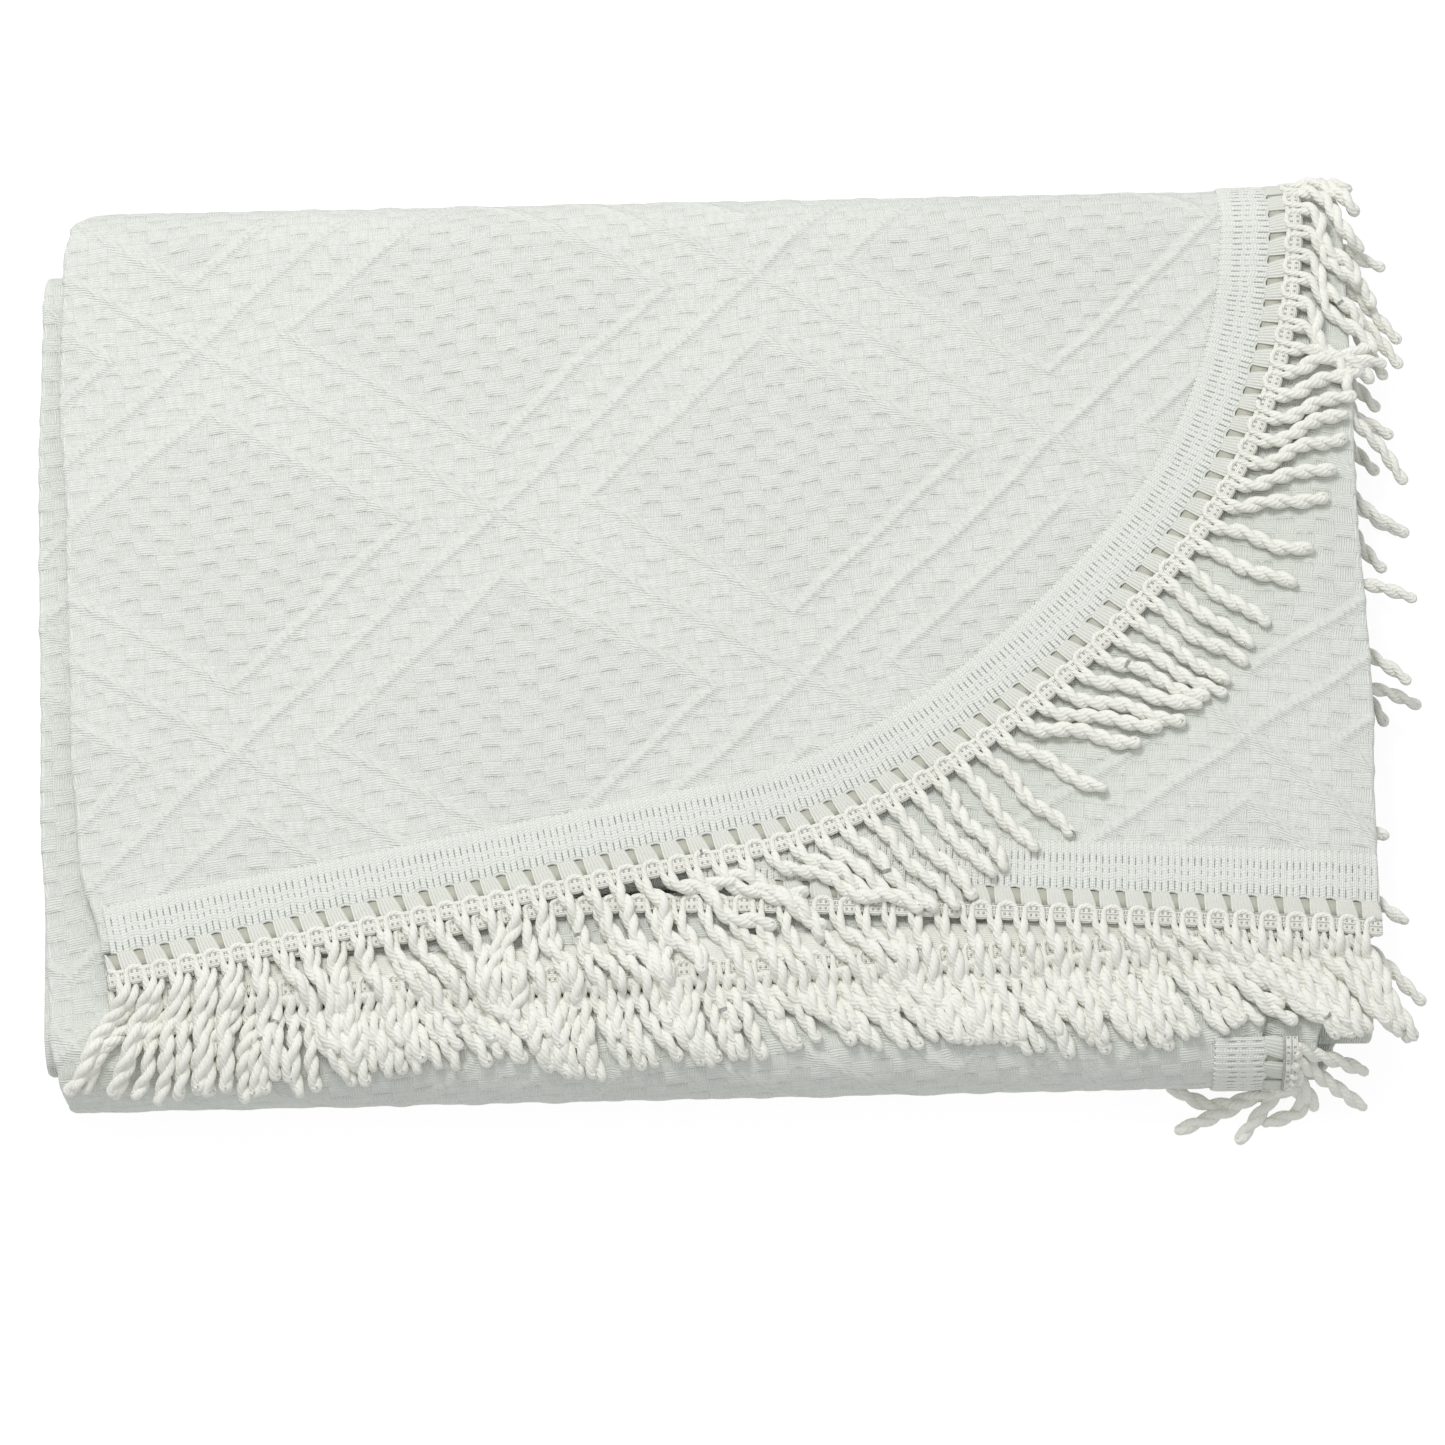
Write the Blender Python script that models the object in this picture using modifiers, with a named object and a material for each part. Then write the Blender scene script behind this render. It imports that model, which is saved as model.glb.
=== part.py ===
"""Folded cotton bedspread with heading tapes and a twisted bullion fringe. Metres, +Z up.

Sizes below are in millimetres, and make_object turns them into metres. The bedspread is folded in
four across its width: ply A on top, then B, C and D, joined by a left, a right and a left fold. That
packet is rolled flat in six panels. Level 6 is the top panel, and the path runs through levels
6, 1, 5, 2, 4 and 3.
"""

import math
import random

import bmesh
import bpy
from mathutils import Vector

MM = 0.001

# Cloth
CLOTH = 1.9
PLY_PITCH = 2.54
PLIES = 4
PACKET = PLIES * PLY_PITCH
BACK_END = 231.0
FRONT_END = -200.0
FREE_END = -150.0
INNER_BACK_GAP = 20.0
INNER_FRONT_GAP = 6.0
FOLD_STEPS = 4

# Trim, measured outwards from the braid's centre line
BRAID_HALF = 3.5
BRAID_THICK = 2.0
TAPE_NEAR = 12.0
TAPE_WIDE = 22.0
TAPE_THICK = 1.3
TAPE_STEP = 16.0
CLOTH_EDGE = 13.0
PIECE_GAP = 0.35
TOOTH_REACH = 11.4
PITCH = 11.7
ROOT_WIDE = 4.6

# Bullion cords
CORD_LENGTH = 52.0
CORD_WIDE = 5.2
CORD_THICK = 3.4
PILE_CORD_THICK = 3.0
TIP_WIDE = 4.0

# Middle of the whole outline, which becomes the origin
CENTRE_X = 6.73
CENTRE_Y = 4.7

# Where the folds and side edges run along the path. Each whole number starts a panel or a wrap:
# 0 to 1 is level 6 from front to back, 1 to 2 its back wrap, 2 to 3 level 1, and so on.
FOLD_LINES = (
    # along, fold_ab, fold_bc, fold_cd, edge_a, edge_d
    (0.00, -279, 290, -276, 256, 252),
    (0.15, -290, 291, -286, 256, 252),
    (0.30, -294, 293, -289, 256, 253),
    (0.60, -297, 291, -293, 256, 254),
    (0.80, -301, 292, -296, 256, 254),
    (1.00, -300, 292, -297, 256, 254),
    (2.00, -302, 290, -300, 254, 252),
    (3.00, -302, 289, -300, 243, 250),
    (4.00, -303, 287, -301, 242, 249),
    (4.30, -308, 288, -305, 250, 250),
    (4.80, -311, 289, -307, 253, 251),
    (5.00, -310, 288, -307, 254, 252),
    (7.00, -305, 286, -303, 252, 250),
    (9.00, -307, 288, -304, 253, 251),
    (11.0, -303, 285, -301, 251, 249),
)

# Braid of the foot edge on ply B, then on ply C
FOOT_BRAID_B = (
    # x, y
    (-278, -152), (-200, -138), (-137, -131), (-80, -121), (-13, -120), (60, -123),
    (139, -128), (210, -132), (289, -137),
)
FOOT_BRAID_C = (
    # x, y
    (-278, -155), (-157, -154), (70, -146), (289, -137),
)

# Braid round the rounded corner on ply A, from the left fold to the back wrap
CORNER_START = (-275.0, -150.5)
CORNER_HEADING = 11.0
CORNER_STRETCHES = (
    # length, turn in degrees
    (285, -0.5), (95, 22.0), (155, 18.0), (150, 33.0), (50, 1.5),
)
WRAP_TRIM_END = 150.0

# How far above level 5 the row of ply C lies
LAY_UNDER = 2.6

# In front of this and left of this, ply A's cords lie on the cords of ply B
PILE_BACK_Y = -78.0
PILE_RIGHT_X = 150.0

# The foot trims run between the left and the right fold. Ply A hides the start of ply B's tape.
FOOT_TRIM_START = -276.0
FOOT_TRIM_END = 289.0
FOOT_TAPE_START = -4.0

# Drop of a cord for each millimetre that it reaches past the right fold
OVERHANG_START = 291.0
OVERHANG_SLOPE = 0.04
SIDE_DROOP_START = 294.0
SIDE_DROOP_SLOPE = 0.35

# The bunch of cords on the front wrap
FRONT_BRAID_X = 255.0
FRONT_ROOT_WIDE = 3.4
FRONT_CORD_WIDE = 3.8
FRONT_CORDS = (
    # angle of the root from the wrap's top, then three places of the cord's middle
    (108, (261, -202.5, 11), (243, -205, 4), (206, -212, 1.7)),
    (92, (262, -205.5, 18), (250, -213, 6), (230, -221, 1.7)),
    (77, (261, -207, 24), (255, -217, 11), (247, -225, 1.7)),
    (62, (266, -203, 34), (271, -210, 24), (268, -216, 10)),
    (48, (267, -198, 41), (278, -203, 33), (286, -208, 22)),
    (34, (267, -193, 45), (277, -199, 40), (286, -204, 34)),
)

# Rows of the side edges in the recesses on the right
SIDE_BRAID_X = 262.0
SIDE_ROWS = (
    # level above the recess, where its cords start along y, cord length
    (6, (-80, -12, -1, 11, 36, 58, 70, 82, 94, 106, 118, 130, 142, 154, 166, 190), 47),
    (5, (-140, -64, 24, 47, 88, 112, 176), 44),
    (4, (-118, -40, 64, 136, 160), 40),
    (3, (-150, -20, 40, 100, 150), 41),
    (2, (-96, -56, 16, 76, 124, 170), 43),
)

# Slant of the cords from straight out, in degrees, positive towards the end of each row
CORNER_SLANTS = (
    # share of row, slant
    (0.00, -30), (0.10, -8), (0.25, 12), (0.38, 36), (0.50, 24), (0.62, 8), (0.75, -22),
    (0.88, -22), (1.00, -10),
)
FOOT_SLANTS = (
    # share of row, slant
    (0.00, -20), (0.20, 10), (0.45, -4), (0.60, 14), (0.75, 30), (0.95, 34), (1.00, 52),
)
UNDER_SLANTS = (
    # share of row, slant
    (0.00, -12), (0.15, 16), (0.30, 8), (0.50, 22), (0.75, 28), (1.00, 34),
)


def level_height(level):
    """Height of the middle of a packet."""
    return (level - 0.5) * PACKET - (PLY_PITCH - CLOTH) / 2


def ply_top(level, ply):
    """Top of ply A (0) to D (3) in a panel that lies face up."""
    return level_height(level) + (1.5 - ply) * PLY_PITCH + CLOTH / 2


WRAP_BACK_Y = BACK_END - (level_height(6) - level_height(1)) / 2 - PACKET / 2
WRAP_FRONT_Y = FRONT_END + (level_height(5) - level_height(1)) / 2 + PACKET / 2
WRAP_BACK_Z = (level_height(6) + level_height(1)) / 2
WRAP_FRONT_Z = (level_height(5) + level_height(1)) / 2
WRAP_BACK_RADIUS = (level_height(6) - level_height(1)) / 2 + 1.5 * PLY_PITCH + CLOTH / 2
WRAP_FRONT_RADIUS = (level_height(5) - level_height(1)) / 2 + 1.5 * PLY_PITCH + CLOTH / 2
TOP_A = ply_top(6, 0)
TOP_B = ply_top(6, 1)
TOP_C = ply_top(6, 2)
TOP_FIVE = ply_top(5, 0)
UNDER_BRAID_TOP = TOP_C + PIECE_GAP + BRAID_THICK
PILE_TOP = UNDER_BRAID_TOP + PILE_CORD_THICK + 5 * PIECE_GAP


def ramp(rows, at, column=1):
    """Eased value of a table's column at a place along its first column."""
    if at <= rows[0][0]:
        return float(rows[0][column])
    for low, high in zip(rows, rows[1:]):
        if at <= high[0]:
            share = (at - low[0]) / (high[0] - low[0])
            share = share * share * (3 - 2 * share)
            return low[column] + (high[column] - low[column]) * share
    return float(rows[-1][column])


def through(points, at):
    """Height at x of a smooth line through points, as a Catmull-Rom curve in x."""
    last = len(points) - 1
    index = max(0, min(last - 1, sum(point[0] < at for point in points) - 1))
    before, start = points[max(index - 1, 0)], points[index]
    end, after = points[index + 1], points[min(index + 2, last)]
    span = end[0] - start[0]
    share = max(0.0, min(1.0, (at - start[0]) / span))
    leave = (end[1] - before[1]) / (end[0] - before[0]) * span
    arrive = (after[1] - start[1]) / (after[0] - start[0]) * span
    square, cube = share**2, share**3
    return (
        (2 * cube - 3 * square + 1) * start[1]
        + (cube - 2 * square + share) * leave
        + (3 * square - 2 * cube) * end[1]
        + (cube - square) * arrive
    )


def make_material(name, colour, roughness):
    made = bpy.data.materials.new(name)
    made.use_nodes = True
    shader = made.node_tree.nodes["Principled BSDF"]
    shader.inputs["Base Color"].default_value = (*colour, 1.0)
    shader.inputs["Roughness"].default_value = roughness
    return made


def make_object(name, shape, collection, surface=None):
    """A mesh object from a bmesh whose points are in millimetres."""
    for vert in shape.verts:
        vert.co = Vector((vert.co.x - CENTRE_X, vert.co.y - CENTRE_Y, vert.co.z)) * MM
    bmesh.ops.recalc_face_normals(shape, faces=shape.faces)
    mesh = bpy.data.meshes.new(name)
    shape.to_mesh(mesh)
    shape.free()
    made = bpy.data.objects.new(name, mesh)
    collection.objects.link(made)
    if surface:
        mesh.materials.append(surface)
    return made


def roll_path():
    """Stations of the packet's middle: (along, y, z, heading), where heading turns from 0, to the back."""
    wraps = (
        # from level, to level, centre y, steps
        (6, 1, WRAP_BACK_Y, 12),
        (1, 5, WRAP_FRONT_Y, 10),
        (5, 2, WRAP_BACK_Y - INNER_BACK_GAP, 8),
        (2, 4, WRAP_FRONT_Y + INNER_FRONT_GAP, 6),
        (4, 3, WRAP_BACK_Y - INNER_BACK_GAP - INNER_FRONT_GAP, 6),
    )
    straight_shares = (0.15, 0.3, 0.6, 0.8)
    stations = [(0.0, FREE_END, level_height(6), 0.0)]
    start, heading, along = FREE_END, 0.0, 0.0
    for turn, (level, onto, centre, steps) in enumerate(wraps):
        shares = straight_shares if turn in (0, 2) else (0.5,)
        for share in shares:
            place = start + (centre - start) * share
            stations.append((along + share, place, level_height(level), heading))
        middle = (level_height(level) + level_height(onto)) / 2
        radius = abs(level_height(level) - level_height(onto)) / 2
        for step in range(steps + 1):
            angle = heading - math.pi * step / steps
            stations.append(
                (
                    along + 1 + step / steps,
                    centre - radius * math.sin(angle),
                    middle + radius * math.cos(angle),
                    angle,
                )
            )
        start, heading, along = centre, heading - math.pi, along + 2
    stations.append((along + 0.5, (start + FREE_END) / 2, level_height(3), heading))
    stations.append((along + 1.0, FREE_END, level_height(3), heading))
    return stations


def zigzag(lines):
    """Middle line of the four plies across the width: (x, offset towards ply A's side)."""
    fold_ab, fold_bc, fold_cd, edge_a, edge_d = lines
    radius = PLY_PITCH / 2
    reach = radius + CLOTH / 2
    folds = (
        # centre x, centre offset, side that it opens away from
        (fold_ab + reach, PLY_PITCH, -1),
        (fold_bc - reach, 0.0, 1),
        (fold_cd + reach, -PLY_PITCH, -1),
    )
    inner_shares = ((0.5,), (0.25, 0.4, 0.55, 0.8), (0.5,), (0.5,))
    points = [(edge_a, 1.5 * PLY_PITCH)]
    for number, shares in enumerate(inner_shares):
        offset = (1.5 - number) * PLY_PITCH
        start = points[-1][0]
        end = folds[number][0] if number < len(folds) else edge_d
        points += [(start + (end - start) * share, offset) for share in shares]
        if number == len(folds):
            points.append((edge_d, offset))
            break
        centre, middle, side = folds[number]
        for step in range(FOLD_STEPS + 1):
            angle = math.pi * step / FOLD_STEPS
            points.append((centre + side * radius * math.sin(angle), middle + radius * math.cos(angle)))
    return points


def front_edge(x, offset):
    """Where the foot edge of the cloth ends on level 6, for plies A and B, then C and D."""
    near_b = through(FOOT_BRAID_B, x) + CLOTH_EDGE
    near_c = through(FOOT_BRAID_C, x) + CLOTH_EDGE
    share = max(0.0, min(1.0, 0.5 - offset / PLY_PITCH))
    return near_b + (near_c - near_b) * share


def cloth_point(station, x, offset):
    along, y, z, heading = station
    if along <= 1.0:
        front = front_edge(x, offset)
        return Vector((x, front + (WRAP_BACK_Y - front) * along, z + offset))
    return Vector((x, y - math.sin(heading) * offset, z + math.cos(heading) * offset))


def corner_path(step=2.0):
    """Points and headings of the braid on ply A, until the back wrap begins."""
    x, y = CORNER_START
    heading = math.radians(CORNER_HEADING)
    path = [(x, y, heading)]
    for length, turn in CORNER_STRETCHES:
        count = round(length / step)
        for _ in range(count):
            heading += math.radians(turn) / count / 2
            x += length / count * math.cos(heading)
            y += length / count * math.sin(heading)
            heading += math.radians(turn) / count / 2
            path.append((x, y, heading))
    return [place for place in path if place[1] <= WRAP_BACK_Y]


def corner_cutter(collection):
    """Prism over all that lies outside ply A's rounded corner, down to the gap above ply B."""
    edge = [
        (x - math.sin(heading) * CLOTH_EDGE, y + math.cos(heading) * CLOTH_EDGE)
        for x, y, heading in corner_path(step=14.0)
    ]
    far_left, far_right, far_front = -330.0, 330.0, -190.0
    first, last = edge[0], edge[-1]
    outline = [(far_left, first[1] - 8), *edge, (last[0] + 1.0, last[1] + 8.0)]
    outline += [(far_right, last[1] + 8.0), (far_right, far_front), (far_left, far_front)]
    low = TOP_B + (PLY_PITCH - CLOTH) / 2
    shape = bmesh.new()
    face = shape.faces.new([shape.verts.new((x, y, low)) for x, y in outline])
    lifted = bmesh.ops.extrude_face_region(shape, geom=[face])["geom"]
    for vert in lifted:
        if isinstance(vert, bmesh.types.BMVert):
            vert.co.z = TOP_A + 6.0
    cutter = make_object("cutter_corner", shape, collection)
    cutter.hide_render = True
    cutter.display_type = "WIRE"
    return cutter


def make_cloth(collection, cutters, surface):
    stations = roll_path()
    columns = len(zigzag(FOLD_LINES[0][1:]))
    shape = bmesh.new()
    bmesh.ops.create_grid(shape, x_segments=columns - 1, y_segments=len(stations) - 1, size=1)
    lines = [
        [ramp(FOLD_LINES, station[0], column) for column in range(1, len(FOLD_LINES[0]))]
        for station in stations
    ]
    profiles = [zigzag(row) for row in lines]
    for vert in shape.verts:
        column = round((vert.co.x + 1) / 2 * (columns - 1))
        row = round((vert.co.y + 1) / 2 * (len(stations) - 1))
        vert.co = cloth_point(stations[row], *profiles[row][column])
    cloth = make_object("bedspread_cloth", shape, collection, surface)
    thick = cloth.modifiers.new("Thickness", "SOLIDIFY")
    thick.thickness = CLOTH * MM
    thick.offset = 0.0
    thick.use_even_offset = True
    cut = cloth.modifiers.new("Corner", "BOOLEAN")
    cut.object = corner_cutter(cutters)
    cut.operation = "DIFFERENCE"
    cut.solver = "EXACT"
    return cloth


def frame_at(place, outward, normal):
    """A place on a trim's middle line, the way out from the cloth, and the face's normal."""
    return Vector(place), Vector(outward).normalized(), Vector(normal).normalized()


def wrap_frame(x, angle, centre_y, centre_z, radius, side=1):
    """A frame on a wrap, at an angle in degrees from its top, towards the back (1) or front (-1)."""
    turn = math.radians(angle)
    normal = Vector((0, side * math.sin(turn), math.cos(turn)))
    return frame_at(Vector((x, centre_y, centre_z)) + normal * radius, (1, 0, 0), normal)


def ring(shape, frame, near, far, low, high):
    """Four points of a strip's cross-section: near low, far low, far high, near high."""
    place, outward, normal = frame
    corners = ((near, low), (far, low), (far, high), (near, high))
    return [shape.verts.new(place + outward * out + normal * up) for out, up in corners]


def strip(shape, frames, near, far, low, high):
    """Closed strip along frames, where near is a number for each frame. Returns its outer faces."""
    rings = [ring(shape, frame, inner, far, low, high) for frame, inner in zip(frames, near)]
    outer = []
    for first, second in zip(rings, rings[1:]):
        for side in range(4):
            follow = (side + 1) % 4
            face = shape.faces.new((first[side], second[side], second[follow], first[follow]))
            if side == 1:
                outer.append((face, (first[1], second[1], second[2], first[2])))
    shape.faces.new(rings[0])
    shape.faces.new(list(reversed(rings[-1])))
    return outer


def grow(shape, face, corners, sections):
    """Extrudes a face through sections, each four points in the order of the face's own corners."""
    order = [corners.index(vert) for vert in face.verts]
    for section in sections:
        face = bmesh.ops.extrude_discrete_faces(shape, faces=[face])["faces"][0]
        for vert, corner in zip(face.verts, order):
            vert.co = section[corner]


def cord_sections(centres, sizes, flats):
    """Four-point sections along a cord: low start side, low end side, high end side, high start side."""
    sections = []
    for number, (centre, (wide, high), flat) in enumerate(zip(centres, sizes, flats)):
        before = centres[max(number - 1, 0)]
        after = centres[min(number + 1, len(centres) - 1)]
        ahead = (after - before).normalized()
        across = flat.cross(ahead).normalized() * wide / 2
        upward = ahead.cross(-across).normalized() * high / 2
        if upward.dot(flat) < 0:
            upward = -upward
        sections.append(
            (centre - across - upward, centre + across - upward, centre + across + upward,
             centre - across + upward)
        )
    return sections


def laid_cord(frame, slant, length, bow, lay, shares, thick):
    """Centres and sizes of a cord. lay moves each centre from the braid's level to where it lies."""
    place, outward, normal = frame
    forward = normal.cross(outward)
    turn = math.radians(slant)
    ahead = outward * math.cos(turn) + forward * math.sin(turn)
    side = normal.cross(ahead)
    start = place + outward * BRAID_HALF
    centres, sizes = [], []
    for share in shares:
        wide, high = (TIP_WIDE, thick - 0.4) if share == 1.0 else (CORD_WIDE, thick)
        centre = start + ahead * length * share + side * bow * math.sin(math.pi * share)
        centres.append(lay(centre, share, high, normal))
        sizes.append((wide, high))
    return centres, sizes


def braid_and_roots(shape, frames, teeth):
    """The braid as a strip, with a tooth inwards after each cord. Returns the faces cords grow from."""
    near = []
    for number in range(len(frames)):
        tooth = teeth and number % 2 == 1 and number < len(frames) - 1
        near.append(-TOOTH_REACH if tooth else -BRAID_HALF)
    return strip(shape, frames, near, BRAID_HALF, PIECE_GAP, PIECE_GAP + BRAID_THICK)[::2]


def middle_frame(frames, number):
    first, second = frames[2 * number], frames[2 * number + 1]
    return (first[0] + second[0]) / 2, first[1], first[2]


def fringe_row(name, frames, slants, seed, lay, collection, surface, length=CORD_LENGTH,
               thick=CORD_THICK, shares=(0.34, 0.72, 1.0), teeth=True):
    """A braid and its cords in one solid. The frames come in pairs, one pair for each cord."""
    draw = random.Random(seed)
    shape = bmesh.new()
    roots = braid_and_roots(shape, frames, teeth)
    for number, (face, corners) in enumerate(roots):
        share = number / max(1, len(roots) - 1)
        slant = ramp(slants, share) + draw.uniform(-2.0, 2.0)
        reach = length * draw.uniform(0.93, 1.04)
        bow = draw.uniform(-1.0, 1.0)
        middle = middle_frame(frames, number)
        centres, sizes = laid_cord(middle, slant, reach, bow, lay, shares, thick)
        grow(shape, face, corners, cord_sections(centres, sizes, [middle[2]] * len(centres)))
    return make_object(name, shape, collection, surface)


def paired(frame_of, starts, wide=ROOT_WIDE):
    """Pairs of frames, each pair as wide as a cord's root, from where each cord starts."""
    frames = []
    for start in starts:
        frames += [frame_of(start), frame_of(start + wide)]
    return frames


def even_starts(start, end, pitch=PITCH):
    return [start + pitch * number for number in range(int((end - start - ROOT_WIDE) / pitch) + 1)]


def wrap_surface_height(y):
    """Top of level 5 and, in front of it, of the front wrap."""
    ahead = min(max(0.0, WRAP_FRONT_Y - y), WRAP_FRONT_RADIUS * 0.62)
    return WRAP_FRONT_Z + math.sqrt(WRAP_FRONT_RADIUS**2 - ahead**2)


def overhang_droop(x):
    """How far a cord hangs down past the right fold."""
    return max(0.0, x - OVERHANG_START) * OVERHANG_SLOPE


def lay_under(centre, share, high, normal):
    bottom = wrap_surface_height(centre.y) + LAY_UNDER - overhang_droop(centre.x)
    return Vector((centre.x, centre.y, bottom + high / 2))


def lay_foot(centre, share, high, normal):
    bottom = UNDER_BRAID_TOP + PIECE_GAP + wrap_surface_height(centre.y) - TOP_FIVE
    return Vector((centre.x, centre.y, bottom + high / 2 - overhang_droop(centre.x)))


def lay_corner(centre, share, high, normal):
    bottom = TOP_B + PIECE_GAP
    if centre.y < PILE_BACK_Y and centre.x < PILE_RIGHT_X:
        bottom = PILE_TOP + wrap_surface_height(centre.y) - TOP_FIVE
    return Vector((centre.x, centre.y, bottom + high / 2 - overhang_droop(centre.x)))


def lay_back(centre, share, high, normal):
    sink = -PLY_PITCH + PIECE_GAP + high / 2
    return centre + normal * sink - Vector((0, 0, overhang_droop(centre.x)))


def corner_frame_at(path, distance):
    x, y, heading = path[min(len(path) - 1, round(distance))]
    return frame_at((x, y, TOP_A), (math.sin(heading), -math.cos(heading), 0), (0, 0, 1))


def foot_frame_at(points, height, x):
    slope = (through(points, x + 1) - through(points, x - 1)) / 2
    return frame_at((x, through(points, x), height), (slope, -1, 0), (0, 0, 1))


def make_corner_trim(parts, tape_white, cord_white):
    path = corner_path(step=1.0)
    length = len(path) - 1
    last_x = path[-1][0]

    def back_frame(angle):
        return wrap_frame(last_x, angle, WRAP_BACK_Y, WRAP_BACK_Z, WRAP_BACK_RADIUS)

    tape_frames = [corner_frame_at(path, at) for at in even_starts(6, length, TAPE_STEP)]
    tape_frames += [back_frame(angle) for angle in range(0, int(WRAP_TRIM_END) + 1, 15)]
    make_tape("heading_tape_corner", tape_frames, parts, tape_white)
    frames = paired(lambda at: corner_frame_at(path, at), even_starts(2, length))
    fringe_row("bullion_fringe_corner", frames, CORNER_SLANTS, 11, lay_corner, parts, cord_white)
    pitch_angle = math.degrees(PITCH / WRAP_BACK_RADIUS)
    root_angle = math.degrees(ROOT_WIDE / WRAP_BACK_RADIUS)
    starts = [4 + pitch_angle * number for number in range(7)]
    frames = paired(back_frame, starts, root_angle)
    fringe_row("bullion_fringe_back", frames, ((0, -8), (1, -22)), 12, lay_back, parts, cord_white)


def make_tape(name, frames, parts, surface):
    """A heading tape that lies on the cloth's face."""
    shape = bmesh.new()
    near = [-TAPE_NEAR - TAPE_WIDE] * len(frames)
    strip(shape, frames, near, -TAPE_NEAR, PIECE_GAP, PIECE_GAP + TAPE_THICK)
    return make_object(name, shape, parts, surface)


def make_foot_trims(parts, tape_white, cord_white):
    tape_frames = [
        foot_frame_at(FOOT_BRAID_B, TOP_B, x)
        for x in even_starts(FOOT_TAPE_START, FOOT_TRIM_END + ROOT_WIDE, TAPE_STEP)
    ]
    make_tape("heading_tape_foot", tape_frames, parts, tape_white)
    frames = paired(lambda x: foot_frame_at(FOOT_BRAID_B, TOP_B, x),
                    even_starts(FOOT_TRIM_START, FOOT_TRIM_END))
    fringe_row("bullion_fringe_foot", frames, FOOT_SLANTS, 21, lay_foot, parts, cord_white,
               thick=PILE_CORD_THICK)
    frames = paired(lambda x: foot_frame_at(FOOT_BRAID_C, TOP_C, x),
                    even_starts(FOOT_TRIM_START, FOOT_TRIM_END))
    fringe_row("bullion_fringe_foot_under", frames, UNDER_SLANTS, 22, lay_under, parts, cord_white,
               thick=PILE_CORD_THICK)


def make_front_trim(parts, tape_white, cord_white):
    """The side edge's tape and the bunch of cords where they show on the front wrap."""

    def front_frame(angle):
        return wrap_frame(FRONT_BRAID_X, angle, WRAP_FRONT_Y, WRAP_FRONT_Z, WRAP_FRONT_RADIUS, -1)

    tape_frames = [front_frame(angle) for angle in range(45, 151, 15)]
    make_tape("heading_tape_front", tape_frames, parts, tape_white)
    root_angle = math.degrees(FRONT_ROOT_WIDE / WRAP_FRONT_RADIUS)
    frames = paired(front_frame, [row[0] for row in FRONT_CORDS], -root_angle)
    shape = bmesh.new()
    roots = braid_and_roots(shape, frames, False)
    for number, ((face, corners), (_, *places)) in enumerate(zip(roots, FRONT_CORDS)):
        centres = [Vector(place) for place in places]
        normal = middle_frame(frames, number)[2]
        flats = [normal] * len(centres)
        if centres[-1].z < CORD_THICK:
            flats = (normal, (normal + Vector((0, 0, 1))).normalized(), Vector((0, 0, 1)))
        sizes = [(FRONT_CORD_WIDE, CORD_THICK)] * len(centres)
        grow(shape, face, corners, cord_sections(centres, sizes, flats))
    make_object("bullion_fringe_front", shape, parts, cord_white)


def make_side_trims(parts, cord_white):
    """Rows on the side edges of the panels below, in the recess between two right folds."""
    for number, (level, starts, reach) in enumerate(SIDE_ROWS, start=1):
        height = level_height(level) - PACKET / 2 - BRAID_THICK / 2

        def side_frame(y):
            return frame_at((SIDE_BRAID_X, y, height), (1, 0, 0), (0, 0, 1))

        def lay_side(centre, share, high, normal):
            droop = max(0.0, centre.x - SIDE_DROOP_START) * SIDE_DROOP_SLOPE
            return Vector((centre.x, centre.y, height + BRAID_THICK / 2 - droop))

        frames = paired(side_frame, sorted(starts))
        fringe_row(f"bullion_fringe_side_{number}", frames, ((0, -14), (0.6, -20), (1, -24)),
                   30 + number, lay_side, parts, cord_white, length=reach, shares=(0.6, 1.0),
                   teeth=False)


def main():
    for item in list(bpy.data.objects):
        bpy.data.objects.remove(item)
    scene = bpy.context.scene.collection
    parts = bpy.data.collections.new("folded_bedspread")
    cutters = bpy.data.collections.new("cutters")
    scene.children.link(parts)
    scene.children.link(cutters)
    cloth_white = make_material("cloth_white", (0.80, 0.81, 0.77), 0.9)
    tape_white = make_material("tape_white", (0.82, 0.82, 0.78), 0.85)
    cord_white = make_material("cord_white", (0.81, 0.80, 0.75), 0.8)
    make_cloth(parts, cutters, cloth_white)
    make_corner_trim(parts, tape_white, cord_white)
    make_foot_trims(parts, tape_white, cord_white)
    make_front_trim(parts, tape_white, cord_white)
    make_side_trims(parts, cord_white)


main()
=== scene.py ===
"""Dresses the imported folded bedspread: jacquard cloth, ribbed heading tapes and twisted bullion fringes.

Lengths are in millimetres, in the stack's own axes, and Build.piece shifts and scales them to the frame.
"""

import math
import random

import bpy
import numpy as np
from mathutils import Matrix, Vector


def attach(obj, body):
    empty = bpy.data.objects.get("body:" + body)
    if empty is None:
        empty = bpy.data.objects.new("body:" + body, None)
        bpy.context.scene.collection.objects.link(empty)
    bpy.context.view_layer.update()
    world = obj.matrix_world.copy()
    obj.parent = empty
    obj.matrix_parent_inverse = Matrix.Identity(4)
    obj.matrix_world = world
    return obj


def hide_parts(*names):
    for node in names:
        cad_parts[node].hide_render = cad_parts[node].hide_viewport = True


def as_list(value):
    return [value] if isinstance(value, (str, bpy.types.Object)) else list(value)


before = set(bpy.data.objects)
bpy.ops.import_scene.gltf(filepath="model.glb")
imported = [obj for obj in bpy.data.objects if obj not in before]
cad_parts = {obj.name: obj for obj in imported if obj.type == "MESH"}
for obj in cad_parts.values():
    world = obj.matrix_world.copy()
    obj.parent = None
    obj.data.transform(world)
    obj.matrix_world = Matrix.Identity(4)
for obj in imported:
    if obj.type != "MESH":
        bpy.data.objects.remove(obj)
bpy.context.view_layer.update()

MM = 0.001
CENTRE = np.array((6.73, 4.7, 0.0))

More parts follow.
